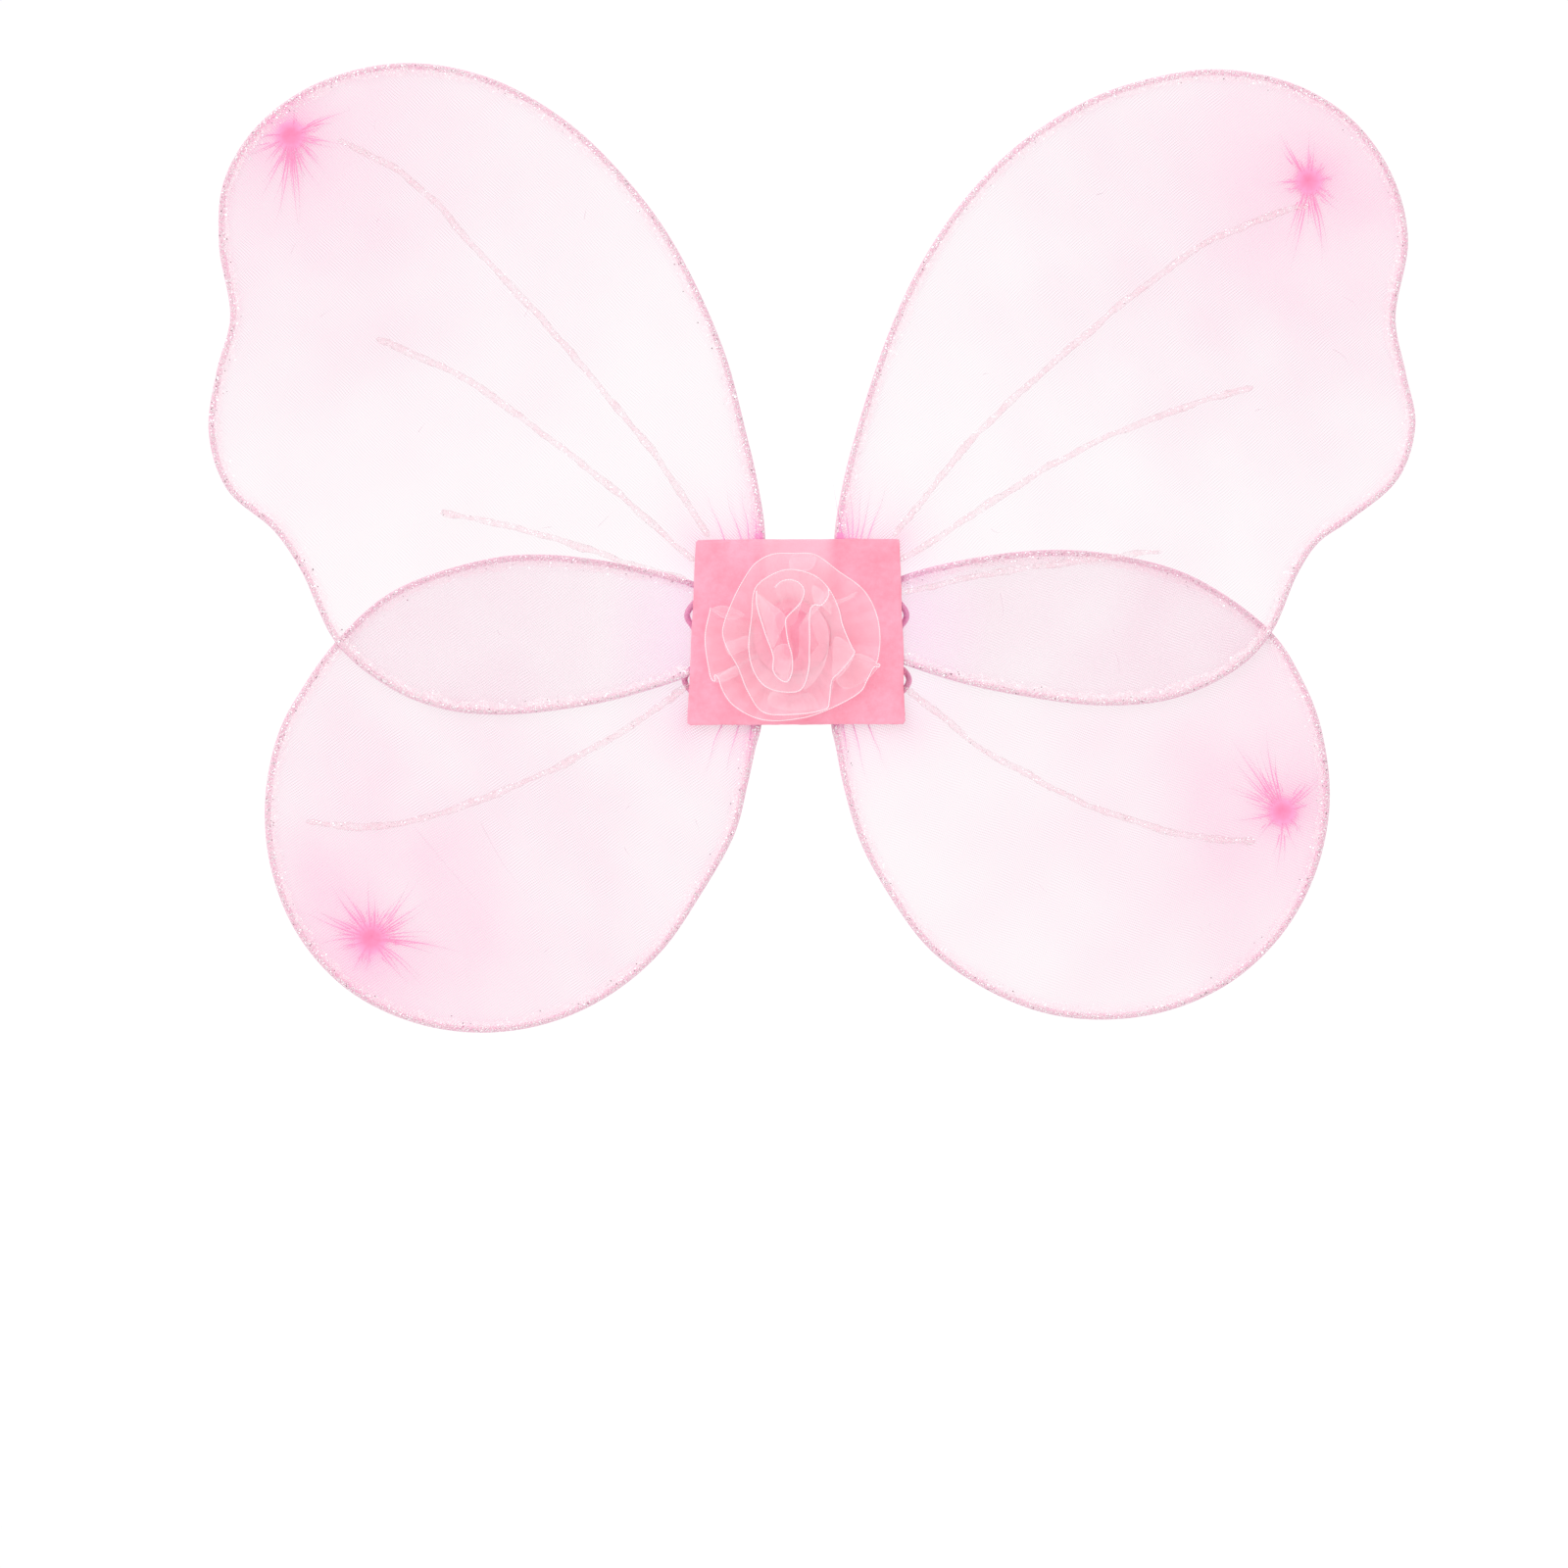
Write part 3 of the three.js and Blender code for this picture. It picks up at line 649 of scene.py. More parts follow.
def dog_bone():
    """One turn of the hank round its middle: two lobes and a waist, from the lower lobe's outer side."""
    lobe, waist, tall = HANK["lobe"], HANK["waist"], HANK["half_length"]
    reach = tall - lobe
    first_half = [(lobe, -reach), (0, -tall), (-lobe, -reach), (-waist, 0)]
    second_half = [(-x, -z) for x, z in first_half]
    return even(catmull(first_half + second_half, closed=True), 4.0, closed=True)[0]


def strap_route():
    """From inside the pad at the upper exit, through the hank's turns, to the lower exit."""
    SHORT = 0.135  # share of the last turn that is left out: the strap leaves the waist for the lower exit
    turn = dog_bone()
    n = len(turn)
    wound = []
    for k in range(1, int(round(n * (HANK["turns"] - SHORT)))):
        x, z = turn[k % n]
        wound.append((HANK["x"] + x, HANK["back"] + CORD / 2 + HANK["layer"] * k / n, HANK["z"] + z))
    joining = [(35.3, 2.8, -10.5)]
    leaving = [(30.7, 9.4, -7.7), (31.7, 9.1, -9.3), (33.2, 8.6, -10.4), (35.0, 7.9, -11.0)]
    return [*UPPER_LEAD, *joining, *wound, *leaving, *LOWER_LEAD[::-1]]


def add_strap(side, mirror):
    """A shoulder strap, put away behind the pad as a hank, and its tie."""
    route, length = even(catmull(strap_route(), steps=12), 0.8)
    route = route * (mirror, 1, 1)
    verts, faces, uv = tube_arrays(route, CORD / 2, 12)
    strap = new_object(f"{side}_shoulder_strap", verts, faces, ELASTIC, uv=uv)
    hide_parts(f"{side}_strap_upper_lead", f"{side}_strap_lower_lead", f"{side}_strap_hank")
    tie = add_tie(side, mirror)
    for piece, slot in ((strap, "elastic"), (tie, "tie")):
        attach(piece, f"{side}_side")


def add_tie(side, mirror):
    """A band of tape drawn round the hank's waist, its end tucked over."""
    THICK, HALF, EDGE, STEPS = 0.7, 2.0, 0.15, 64
    SQUARENESS = 0.55
    front, back = HANK["back"] - 0.5, HANK["back"] + CORD + HANK["turns"] * HANK["layer"] - 0.1
    centre = np.array([mirror * HANK["x"], (front + back) / 2])
    half_size = np.array([HANK["waist"] + CORD / 2 + 0.75, (back - front) / 2])
    verts = []
    for k in range(STEPS):
        a = TAU * k / STEPS
        arm = half_size * np.sign(heading(a)) * np.abs(heading(a)) ** SQUARENESS
        inner, outer = centre + arm, centre + arm * (1 + THICK / np.hypot(*arm))
        lean = 0.25 * math.sin(2 * a)
        section = ((inner, -HALF), (outer, EDGE - HALF), (outer, 0), (outer, HALF - EDGE), (inner, HALF))
        verts += [(x, y, HANK["z"] + z + lean) for (x, y), z in section]
    faces = grid_faces(STEPS, 5, ring=True, tube=True)
    if mirror < 0:
        faces = [f[::-1] for f in faces]
    uv = [(k * 0.5, j) for k in range(STEPS) for j in range(5)]
    tie = new_object(f"{side}_tape_tie", verts, faces, TAPE, uv=uv)
    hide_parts(f"{side}_strap_tie")
    return tie


for side, mirror in SIDES.items():
    add_strap(side, mirror)

# ---------------------------------------------------------------------------------------------
# Wings

LAYER = 0.95  # how far each layer of a sleeve lies from the wing's middle plane
WRAP = 1.25
BASE_DENSITY = {"upper_left": 0.04, "upper_right": 0.04, "lower_left": 0.065, "lower_right": 0.04}
PAD_OUTLINE = np.array(PAD, float)


def smooth(t):
    """An even step from 0 to 1."""
    t = np.clip(t, 0, 1)
    return t * t * (3 - 2 * t)


def bend_zone(w):
    """The start and end of a wing's bending stretch, in metres: it begins just off the pad and eases out."""
    INNER, OUTER = 3.5, 13.0
    (ax, az), (bx, bz) = w["bend"]
    middle = np.array([(ax + bx) / 2, (az + bz) / 2])
    away = unit(np.array([bz - az, ax - bx]))
    away *= np.sign(away @ middle)
    start, end = middle - away * INNER, middle + away * OUTER
    level = w["level"]
    return [(x * MM, level * MM, z * MM) for x, z in (start, end)]


def bends(obj, name):
    """Bake a piece's placement into its mesh; its wing's bending stretch is worked out but not used."""
    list(bend_zone(WINGS[name]))
    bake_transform(obj)


def knot_ridges(w, p):
    """Height from 0 to 1 of the pleats that run out from the gather knot, at points p."""
    d = p - np.array(w["knot"])
    total = np.zeros(len(p))
    for k, (angle, length, weight) in enumerate(w["streaks"]):
        way = heading(math.radians(angle))
        along = d @ way
        across = d @ left_of(way) - (0.1 if k % 2 else -0.08) * along**2 / length
        width = 0.55 + 0.05 * np.maximum(along, 0)
        fade = smooth(along / 1.5) * smooth(1.15 - along / length)
        total = np.maximum(total, weight * np.exp(-((across / width) ** 2)) * fade)
    return total


def root_ridges(w, p):
    """Height from 0 to 1 of the pleats that fan out from the pad's edge."""
    REACH = 24
    base = 34.5 if w["level"] == UPPER_LEVEL else -34.5
    total = np.zeros(len(p))
    for x, angle in w["pleats"]:
        way = heading(math.radians(angle))
        d = p - np.array([x, base])
        along, across = d @ way, d @ left_of(way)
        fade = smooth((along + 6) / 6) * smooth(1.1 - along / REACH)
        total = np.maximum(total, np.exp(-((across / (0.5 + 0.02 * np.abs(along))) ** 2)) * fade)
    return total


def pad_distance(p):
    """How far each point lies outside the pad's outline."""
    outside = distance_to(p, PAD_OUTLINE, closed=True)
    return np.where(inside(p, PAD_OUTLINE), 0.0, outside)


def undulation(p, seed):
    """Slow unevenness of stretched net, about -1 to 1."""
    rng = np.random.default_rng(seed)
    total = np.zeros(len(p))
    for _ in range(7):
        a, phase, wavelength = rng.uniform(0, TAU), rng.uniform(0, TAU), rng.uniform(22, 60)
        total += np.sin(TAU * (p @ heading(a)) / wavelength + phase) / 3.5
    return total


def lattice(low, high, step):
    """Points in rows of triangles between two corners."""
    rows = np.arange(low[1], high[1], step * 0.866)
    columns = np.arange(low[0], high[0], step)
    return np.array([(x + (k % 2) * step / 2, z) for k, z in enumerate(rows) for x in columns])


def sleeve_points(w, loop):
    """Points to fill a sleeve with: coarse over the wing, fine at the knot and at the root."""
    COARSE, FINE, KNOT_REACH = 3.4, 1.25, 34.0
    knot = np.array(w["knot"])

    def near_root(p):
        return (pad_distance(p) < 25) & (np.abs(p[:, 0]) < 44)

    coarse = lattice(loop.min(0), loop.max(0), COARSE)
    coarse = coarse[~near_root(coarse) & (np.linalg.norm(coarse - knot, axis=1) > KNOT_REACH)]
    fine = lattice((-60, -64), (60, 64), FINE)
    fine = fine[near_root(fine)]
    rings = [knot[None]]
    radius, k = 0.8, 0
    while radius < KNOT_REACH - 1:
        a = TAU * (np.arange(90) + (k % 2) / 2) / 90
        keep = 1 if radius > 6 else 2 if radius > 2.5 else 4
        a = a[::keep]
        rings.append(knot + radius * np.stack([np.cos(a), np.sin(a)], 1))
        radius += max(0.7, 0.055 * radius)
        k += 1
    p = np.vstack([coarse, fine, *rings])
    p = p[inside(p, loop)]
    return p[distance_to(p, loop, closed=True) > 1.1]


def fill(outline, extra):
    """Triangles that fill a closed outline and use the extra points. The outline's points come first."""
    count = len(outline)
    ring = list(range(count))[:: 1 if area_of(outline) > 0 else -1]
    points = [Vector(map(float, p)) for p in np.vstack([outline, extra])]
    verts, _, faces, sources, _, _ = delaunay_2d_cdt(points, [], [ring], 1, 1e-6)
    place = {}
    for k, source in enumerate(sources):
        place[k] = min(source) if source else count + len(extra) + k
    order = sorted(range(len(verts)), key=lambda k: place[k])
    rank = {old: new for new, old in enumerate(order)}
    return np.array([verts[k][:] for k in order]), [[rank[i] for i in f] for f in faces]


def net_height(w, p, rim, front, seed):
    """How far a layer of the sleeve stands from the wing's plane. rim is the distance to the wire."""
    inner = smooth(rim / 6)
    off_pad = smooth((np.abs(p[:, 1]) - 20) / 25)
    height = WRAP + (LAYER - WRAP) * inner
    height += 0.16 * undulation(p, seed) * inner * (0.4 + 0.6 * off_pad)
    height += inner * (0.5 * knot_ridges(w, p) + 0.3 * root_ridges(w, p))
    r = np.linalg.norm(p - np.array(w["knot"]), axis=1)
    drawn_back = 0.75 * np.exp(-((r / 2.4) ** 2)) if front else -0.25 * np.exp(-((r / 2.6) ** 2))
    return height - drawn_back


def net_density(w, p, rim, seed):
    """How dense a layer's net looks: most at the gather knot, and more by the rim and the pad."""
    r = np.linalg.norm(p - np.array(w["knot"]), axis=1)
    pad = pad_distance(p)
    level_with_pad = smooth((np.abs(p[:, 1]) - 18) / 16) * np.where(p[:, 1] < 0, 0.75, 1.0)
    density = np.full(len(p), BASE_DENSITY[w["name"]])
    # wide round the knot, close round it, and in its eye
    density += 0.3 * np.exp(-r / 95) + 0.24 * np.exp(-((r / 7.5) ** 1.5))
    density += 0.6 * np.exp(-((r / 4.1) ** 2.6))
    density += 0.12 * knot_ridges(w, p) + 0.08 * root_ridges(w, p)
    # wide round the pad, where the rim meets it, along the rim, and at the pad's edge
    density += 0.1 * np.exp(-pad / 12) * (0.3 + 0.45 * level_with_pad)
    density += 0.3 * np.exp(-pad / 26 - rim / 4.5) * level_with_pad
    density += 0.14 * np.exp(-((rim / 2.4) ** 2)) + 0.12 * np.exp(-pad / 7) * level_with_pad
    return density * (1 + 0.12 * undulation(p, seed + 50))


def front_height(w, path):
    """How far the sleeve's front stands from the wing's plane along a path."""
    return net_height(w, path, distance_to(path, loop_of(w), closed=True), True, w["seed"])


def add_sleeve(name, w, loop, seed, on_it):
    """The net tube on the wing's loop: two layers that meet round the wire. on_it are its folds and tuft,
    and are not used.
    """
    TURNS = 6
    flat, triangles = fill(loop, sleeve_points(w, loop))
    rim = distance_to(flat, loop, closed=True)
    n, ring = len(flat), len(loop)
    front = net_height(w, flat, rim, True, seed)
    back = net_height(w, flat, rim, False, seed + 7)
    front[:ring] = back[:ring] = WRAP
    verts = [placed(flat, w["level"] - front), placed(flat, w["level"] + back)]
    density = [net_density(w, flat, rim, seed), net_density(w, flat, rim, seed + 7)]
    for k in range(1, TURNS):
        a = math.pi / 2 - math.pi * k / TURNS
        verts.append(placed(loop - inwards_of(loop) * WRAP * math.cos(a), w["level"] - WRAP * math.sin(a)))
        density.append(np.full(ring, 0.25))
    rings = [0] + [2 * n + k * ring for k in range(TURNS - 1)] + [n]
    faces = slab_faces(triangles, n, rings, ring, flip=area_of(loop) < 0)
    verts = np.vstack(verts)
    grain = math.atan2(*w["knot"][::-1])
    turn = np.where(verts[:, 1] < w["level"], grain + 0.045, grain - 0.045)
    uv = np.stack([verts[:, 2] * np.cos(turn) - verts[:, 0] * np.sin(turn),
                   verts[:, 0] * np.cos(turn) + verts[:, 2] * np.sin(turn)], 1)
    sleeve = new_object(f"{name}_net_sleeve", verts, faces, NET, uv=uv, closeness=np.concatenate(density))
    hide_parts(f"{name}_net_panel", f"{name}_net_root")
    bends(sleeve, name)


def fold_strip(w, route, width, weight):
    """A narrow fold standing on the sleeve's front along a route: points, faces and how close its net is."""
    path = even(catmull(route, steps=8), 0.7)[0]
    n = len(path)
    s = np.linspace(0, 1, n)
    side = left_of(unit(np.gradient(path, axis=0)))
    half = width / 2 * (0.25 + 0.75 * (1 - s) ** 0.8) * smooth(0.35 + s * 6)
    ground = front_height(w, path)
    verts = []
    for across, rise in ((-1, 0.03), (0, 0.03 + 0.35 * width), (1, 0.03)):
        p = path + side * (half * across)[:, None]
        verts.append(placed(p, w["level"] - ground - rise * (1 - s * 0.6)))
    closeness = weight * (0.12 + 0.88 * smooth(1.1 - s)) * smooth(s * 12 + 0.4)
    return np.stack(verts, 1).reshape(-1, 3), grid_faces(n, 3), np.repeat(closeness, 3)


def add_folds(name, w, seed):
    """Folds that run out from the gather knot and up from the pad, and a few pulled threads."""
    rng = np.random.default_rng(seed)
    knot = np.array(w["knot"])
    strips = []
    for k, (angle, length, weight) in enumerate(w["streaks"]):
        for turn in (0, 1, -1):
            main = turn == 0
            a = math.radians(angle + turn * rng.uniform(3, 8))
            long = length * (1 if main else rng.uniform(0.45, 0.9))
            start = 4.2 + (not main) * rng.uniform(2, 5)
            bow = (0.1 if k % 2 else -0.08) + rng.normal(0, 0.03)
            way = heading(a)
            route = [knot + way * (start + (long - start) * t) + left_of(way) * bow * long * t * t
                     for t in (0, 0.35, 0.7, 1)]
            closeness = 0.6 + 0.3 * weight * (1 if main else 0.4)
            strips.append(fold_strip(w, route, 0.42 + 0.14 * weight, closeness))
    base = 34.2 if w["level"] == UPPER_LEVEL else -34.2
    for x, angle in w["pleats"]:
        way = heading(math.radians(angle + rng.normal(0, 1.5)))
        long = rng.uniform(16, 25)
        route = [np.array([x, base]) + way * long * t + left_of(way) * rng.normal(0, 0.3)
                 for t in (0, 0.4, 0.7, 1)]
        strips.append(fold_strip(w, route, 0.45, 0.6))
    for route in w["pulls"]:
        strips.append(fold_strip(w, route, 0.5, 0.16))
    loop = loop_of(w)
    for _ in range(9):
        p = rng.uniform(loop.min(0), loop.max(0))
        well_inside = inside(p[None], loop)[0] and distance_to(p[None], loop, closed=True)[0] > 12
        if well_inside and abs(p[0]) > 50:
            a = rng.uniform(0, TAU)
            step = heading(a) * rng.uniform(1.2, 3)
            bend = left_of(step) * rng.uniform(-0.4, 0.4)
            strips.append(fold_strip(w, [p - step, p + bend, p + step], 0.5, 0.2))
    verts, faces = join_arrays([strip[:2] for strip in strips])
    closeness = np.concatenate([strip[2] for strip in strips])
    folds = new_object(f"{name}_net_folds", verts, faces, NET, uv=verts[:, [0, 2]], closeness=closeness)
    bends(folds, name)
    return folds


def add_rim(name, w, loop):
    """The wrapped wire of a wing, with the part of its loop that is hidden in the pad."""
    verts, faces, uv = tube_arrays(placed(loop, w["level"]), WIRE / 2, 12, closed=True)
    rim = new_object(f"{name}_rim_wire", verts, faces, RIM, uv=uv)
    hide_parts(f"{name}_wire_loop", f"{name}_wire_tail")
    bends(rim, name)


# ---------------------------------------------------------------------------------------------
# Glitter


# White, pale pink, pink, silver and dark flakes, and their shares on a rim and on a vein
# The dark flakes are painted reflection, standing for flakes that mirror dark surroundings; the other tints
# are the glitter's own colours
FLAKE_TINTS_AND_REFLECTIONS = np.array([(1.0, 0.97, 0.98), (0.97, 0.87, 0.91), (0.93, 0.75, 0.82), (0.84, 0.77, 0.80),
                        (0.34, 0.2, 0.24)])
RIM_MIX = (0.30, 0.37, 0.14, 0.16, 0.03)
VEIN_MIX = (0.10, 0.60, 0.26, 0.035, 0.005)


def flakes(places, facings, rng, mix, size=(0.32, 0.6)):
    """Six-sided flakes at places, each tipped at random from its facing, and a colour for every vertex: the
    glitter's own tint, with the dark flakes' colour a painted reflection.
    """
    n = len(places)
    tip = unit(facings + rng.normal(0, 0.22, (n, 3)))
    side = unit(np.cross(tip, rng.normal(0, 1, (n, 3))))
    other = np.cross(tip, side)
    radius = rng.uniform(*size, n)[:, None] / 2
    turns = [heading(TAU * k / 6) for k in range(6)]
    verts = np.stack([places + radius * (side * c + other * s) for c, s in turns], 1).reshape(-1, 3)
    faces = [[6 * k + j for j in range(6)] for k in range(n)]
    # Painted reflection: flakes given the dark tint stand for flakes mirroring dark surroundings
    kind = rng.choice(len(FLAKE_TINTS_AND_REFLECTIONS), n, p=mix)
    tint = np.column_stack([FLAKE_TINTS_AND_REFLECTIONS[kind] * rng.uniform(0.92, 1.0, (n, 1)), np.ones(n)])
    return verts, faces, np.repeat(tint, 6, axis=0)


def add_flaked(name, base, scattered, glue=(1.0, 1.0, 1.0, 1.0)):
    """One object of a glue body and the flakes on it. glue tints the body, and thins it."""
    verts, faces = join_arrays([base, scattered[:2]])
    tint = np.vstack([np.tile(glue, (len(base[0]), 1)), scattered[2]])
    obj = new_object(name, verts, faces, GLUE, tint=tint)
    obj.data.materials.append(FLAKE)
    marks = [0] * len(base[1]) + [1] * len(scattered[1])
    obj.data.polygons.foreach_set("material_index", marks)
    obj.data.polygons.foreach_set("use_smooth", [m == 0 for m in marks])
    return obj


def rim_surface(w, loop, inwards, share, across, lift):
    """Points on the sleeve's front: share is how far along the loop, and across is from the wire in."""
    n = len(loop)
    at = share * n
    i = np.floor(at).astype(int) % n
    part = (at - np.floor(at))[:, None]
    here = loop[i] * (1 - part) + loop[(i + 1) % n] * part
    way = unit(inwards[i] * (1 - part) + inwards[(i + 1) % n] * part)
    rounding = np.sqrt(np.maximum(WRAP**2 - np.minimum(across, 0) ** 2, 0.05))
    height = np.where(across < 0, rounding, WRAP + (LAYER - WRAP) * smooth(across / 6)) + lift
    facing = placed(way * (np.minimum(across, 0) / WRAP)[:, None], -1)
    return placed(here + way * across[:, None], w["level"] - height), facing


def add_rim_glitter(name, w, loop, seed):
    """Glitter glued round the front of the rim, thick at the wire and thinning inwards."""
    PER_MM, WIDTH = 5.6, 4.0
    # The rows of the band, from outside the wire inwards: how far across and how high each lies
    STEPS = (-0.55, -0.1, 0.25, 0.5, 0.75, 1.0)
    LIFTS = (0.03, 0.09, 0.1, 0.08, 0.07, 0.03)
    rng = np.random.default_rng(seed)
    inwards = inwards_of(loop)
    shown = pad_distance(loop) > 0.4
    n = len(loop)
    first = int(np.argmax(shown & ~np.roll(shown, 1)))
    count = int(shown.sum())
    length = np.linalg.norm(np.roll(loop, -1, 0) - loop, axis=1).mean() * count

    rows, stations = len(STEPS), count * 2
    ragged = 0.8 + 0.35 * np.abs(np.convolve(rng.normal(0, 1, stations + 6), np.ones(7) / 3.2, "valid"))
    share = (first + np.arange(stations) / 2) % n / n
    steps = np.tile(STEPS, stations)
    across = steps * np.repeat(np.minimum(ragged, 1.35), rows) * (WIDTH - 0.8)
    across = np.where(steps < 0, steps * 1.6, across)
    band, _ = rim_surface(w, loop, inwards, np.repeat(share, rows), across, np.tile(LIFTS, stations))
    faces = grid_faces(stations, rows, flip=True)
    if area_of(loop) < 0:
        faces = [f[::-1] for f in faces]

    number = int(length * PER_MM)
    share = ((first + rng.uniform(0, count, number)) % n) / n
    across = np.clip(np.abs(rng.normal(0, 1.0, number)) * 2.1 - 0.95, -1.0, WIDTH + 0.6)
    place, facing = rim_surface(w, loop, inwards, share, across, rng.uniform(0.1, 0.2, number))
    glitter = add_flaked(f"{name}_rim_glitter", (band, faces), flakes(place, facing, rng, RIM_MIX))
    bends(glitter, name)


def add_vein(name, w, route, label, node, seed):
    """A drawn line of glitter glue: a low rounded bead with uneven edges, strewn with flakes."""
    WIDTH, HEIGHT, ACROSS, PER_MM = 2.5, 0.28, 7, 5.5
    rng = np.random.default_rng(seed)
    path, length = even(catmull(route), 0.8)
    n = len(path)
    side = left_of(unit(np.gradient(path, axis=0)))
    wobble = np.convolve(rng.normal(0, 1, n + 8), np.ones(9) / 9, "valid")
    half = WIDTH / 2 * (1 + 0.4 * wobble)
    s = np.arange(n) * length / (n - 1)
    half *= np.sqrt(np.clip(s / 1.8, 0.02, 1)) * np.sqrt(np.clip((length - s) / 1.8, 0.02, 1))
    drift = 0.35 * np.convolve(rng.normal(0, 1, n + 12), np.ones(13) / 6, "valid")
    path = path + side * drift[:, None]
    ground = front_height(w, path)
    verts = []
    for k in range(ACROSS):
        a = math.pi * k / (ACROSS - 1)
        p = path + side * (half * math.cos(a))[:, None]
        rise = ground + 0.04 + HEIGHT * math.sin(a) * np.clip(half / (WIDTH / 2), 0.2, 1)
        verts.append(placed(p, w["level"] - rise))
    verts = np.stack(verts, 1).reshape(-1, 3)
    faces = grid_faces(n, ACROSS)
    left = [i * ACROSS for i in range(n)]
    right = [k + ACROSS - 1 for k in left]
    faces += list(zip(left[1:], right[1:], right, left))
    faces += [list(range(ACROSS))[::-1], list(range(left[-1], right[-1] + 1))]

    number = int(length * PER_MM)
    at = rng.uniform(0, n - 1, number)
    i = np.floor(at).astype(int)
    part = (at - i)[:, None]
    step = np.clip(rng.normal(0, 0.5, number), -1.15, 1.15)
    along_it = (path, side, half[:, None], ground[:, None])
    middle, way, reach, low = (v[i] * (1 - part) + v[i + 1] * part for v in along_it)
    rise = low[:, 0] + 0.09 + HEIGHT * np.sqrt(np.clip(1 - step**2, 0, 1))
    place = placed(middle + way * (reach * step[:, None]), w["level"] - rise)
    facing = placed(way * (step * 0.25)[:, None], -1)
    scattered = flakes(place, facing, rng, VEIN_MIX, size=(0.25, 0.44))
    vein = add_flaked(label, (verts, faces), scattered, glue=(0.97, 0.78, 0.84, 0.62))
    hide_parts(node)
    bends(vein, name)


# ---------------------------------------------------------------------------------------------
# Gather knots, on the wings' backs


def add_knot(name, w, seed):
    """The end of the net tube, bunched into pleats, bound with thread and cut off."""
    LOBES, ROUND = 15, 90
    rng = np.random.default_rng(seed)
    x, z = w["knot"]
    base = w["level"] + 0.9
    # (height, radius, depth of the pleats), from the net to the cut end
    profile = [(0.0, 3.3, 0.35), (0.35, 2.7, 0.45), (0.8, 2.1, 0.35), (1.3, 1.75, 0.2), (1.9, 1.7, 0.15),
               (2.4, 2.0, 0.3), (2.8, 2.6, 0.5), (3.3, 3.1, 0.75), (3.8, 3.35, 0.95), (4.1, 3.3, 1.05),
               (4.0, 2.7, 0.9), (3.6, 1.9, 0.6), (3.2, 1.0, 0.3)]
    a = TAU * np.arange(ROUND) / ROUND
    lobe = np.cos(LOBES * a + 0.7 * np.sin(3 * a) + rng.uniform(0, TAU))
    uneven = 1 + 0.1 * np.sin(2 * a + 1) + 0.07 * np.sin(5 * a)
    rag = np.interp(a, np.linspace(0, TAU, 25), rng.uniform(0.78, 1.0, 25), period=TAU)
    verts = []
    for h, r, pleat in profile:
        radius = r * uneven + pleat * lobe * 0.6
        high = h * np.where(h > 2.5, rag, 1)
        verts.append(np.stack([x + radius * np.cos(a), base + high, z + radius * np.sin(a)], 1))
    verts = np.vstack([*verts, [[x, base + 2.9, z]]])
    faces = grid_faces(len(profile), ROUND, tube=True, flip=True)
    last = len(profile) * ROUND
    faces += [(last - ROUND + i, last, last - ROUND + (i + 1) % ROUND) for i in range(ROUND)]
    faces.append(list(range(ROUND)))
    tuft = new_object(f"{name}_gathered_tuft", verts, faces, GATHERED)
    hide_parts(f"{name}_gather_knot")
    t = np.linspace(0, 1, 150)
    turn = TAU * 4.5 * t
    radius = 1.98 + 0.05 * np.sin(9 * turn)
    coil = np.stack([x + radius * np.cos(turn), base + 1.05 + 1.15 * t, z + radius * np.sin(turn)], 1)
    v, f, uv = tube_arrays(coil, 0.17, 8)
    binding = new_object(f"{name}_knot_binding", v, f, PINK_THREAD, uv=uv)
    for piece in (tuft, binding):
        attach(piece, f"{name}_wing")
    return [tuft, binding]


def loop_of(w):
    """The line of a wing's wire, made once."""
    if "loop" not in w:
        w["loop"] = even(catmull(inset(w["edge"] + w["tail"], SKIN), closed=True), 2.2, closed=True)[0]
    return w["loop"]


for number, (name, w) in enumerate(WINGS.items()):
    w["name"], w["seed"] = name, 100 + 20 * number
    loop = loop_of(w)
    add_rim(name, w, loop)
    folds = add_folds(name, w, w["seed"] + 9)
    add_sleeve(name, w, loop, w["seed"], [folds, *add_knot(name, w, w["seed"] + 2)])
    add_rim_glitter(name, w, loop, w["seed"] + 1)
    for k, route in enumerate(w["veins"]):
        mark = f"_{k + 1}" if len(w["veins"]) > 1 else ""
        add_vein(name, w, route, f"{name}_vein{mark}", f"{name}_glitter_vein{mark}", w["seed"] + 3 + k)

# ---------------------------------------------------------------------------------------------
# Felt pads, each in two halves that meet on the middle line


def pad_edge(upper, x):
    """The height of the pad's upper or lower edge at x."""
    (xa, za), (xb, zb) = (PAD[0], PAD[1]) if upper else (PAD[3], PAD[2])
    return za + (zb - za) * (x - xa) / (xb - xa)


def rounded_run(corners, radius, step):
    """An open line through corners, its inner corners rounded, in points about a step apart."""
    c = [np.array(p, float) for p in corners]
    line = [c[0]]
    for before, here, after in zip(c, c[1:], c[2:]):
        into = here + (before - here) / np.linalg.norm(before - here) * radius
        out = here + (after - here) / np.linalg.norm(after - here) * radius
        line += [into * (1 - t) ** 2 + here * 2 * t * (1 - t) + out * t**2 for t in np.linspace(0, 1, 6)]
    line.append(c[-1])
    return even(np.array(line), step)[0]


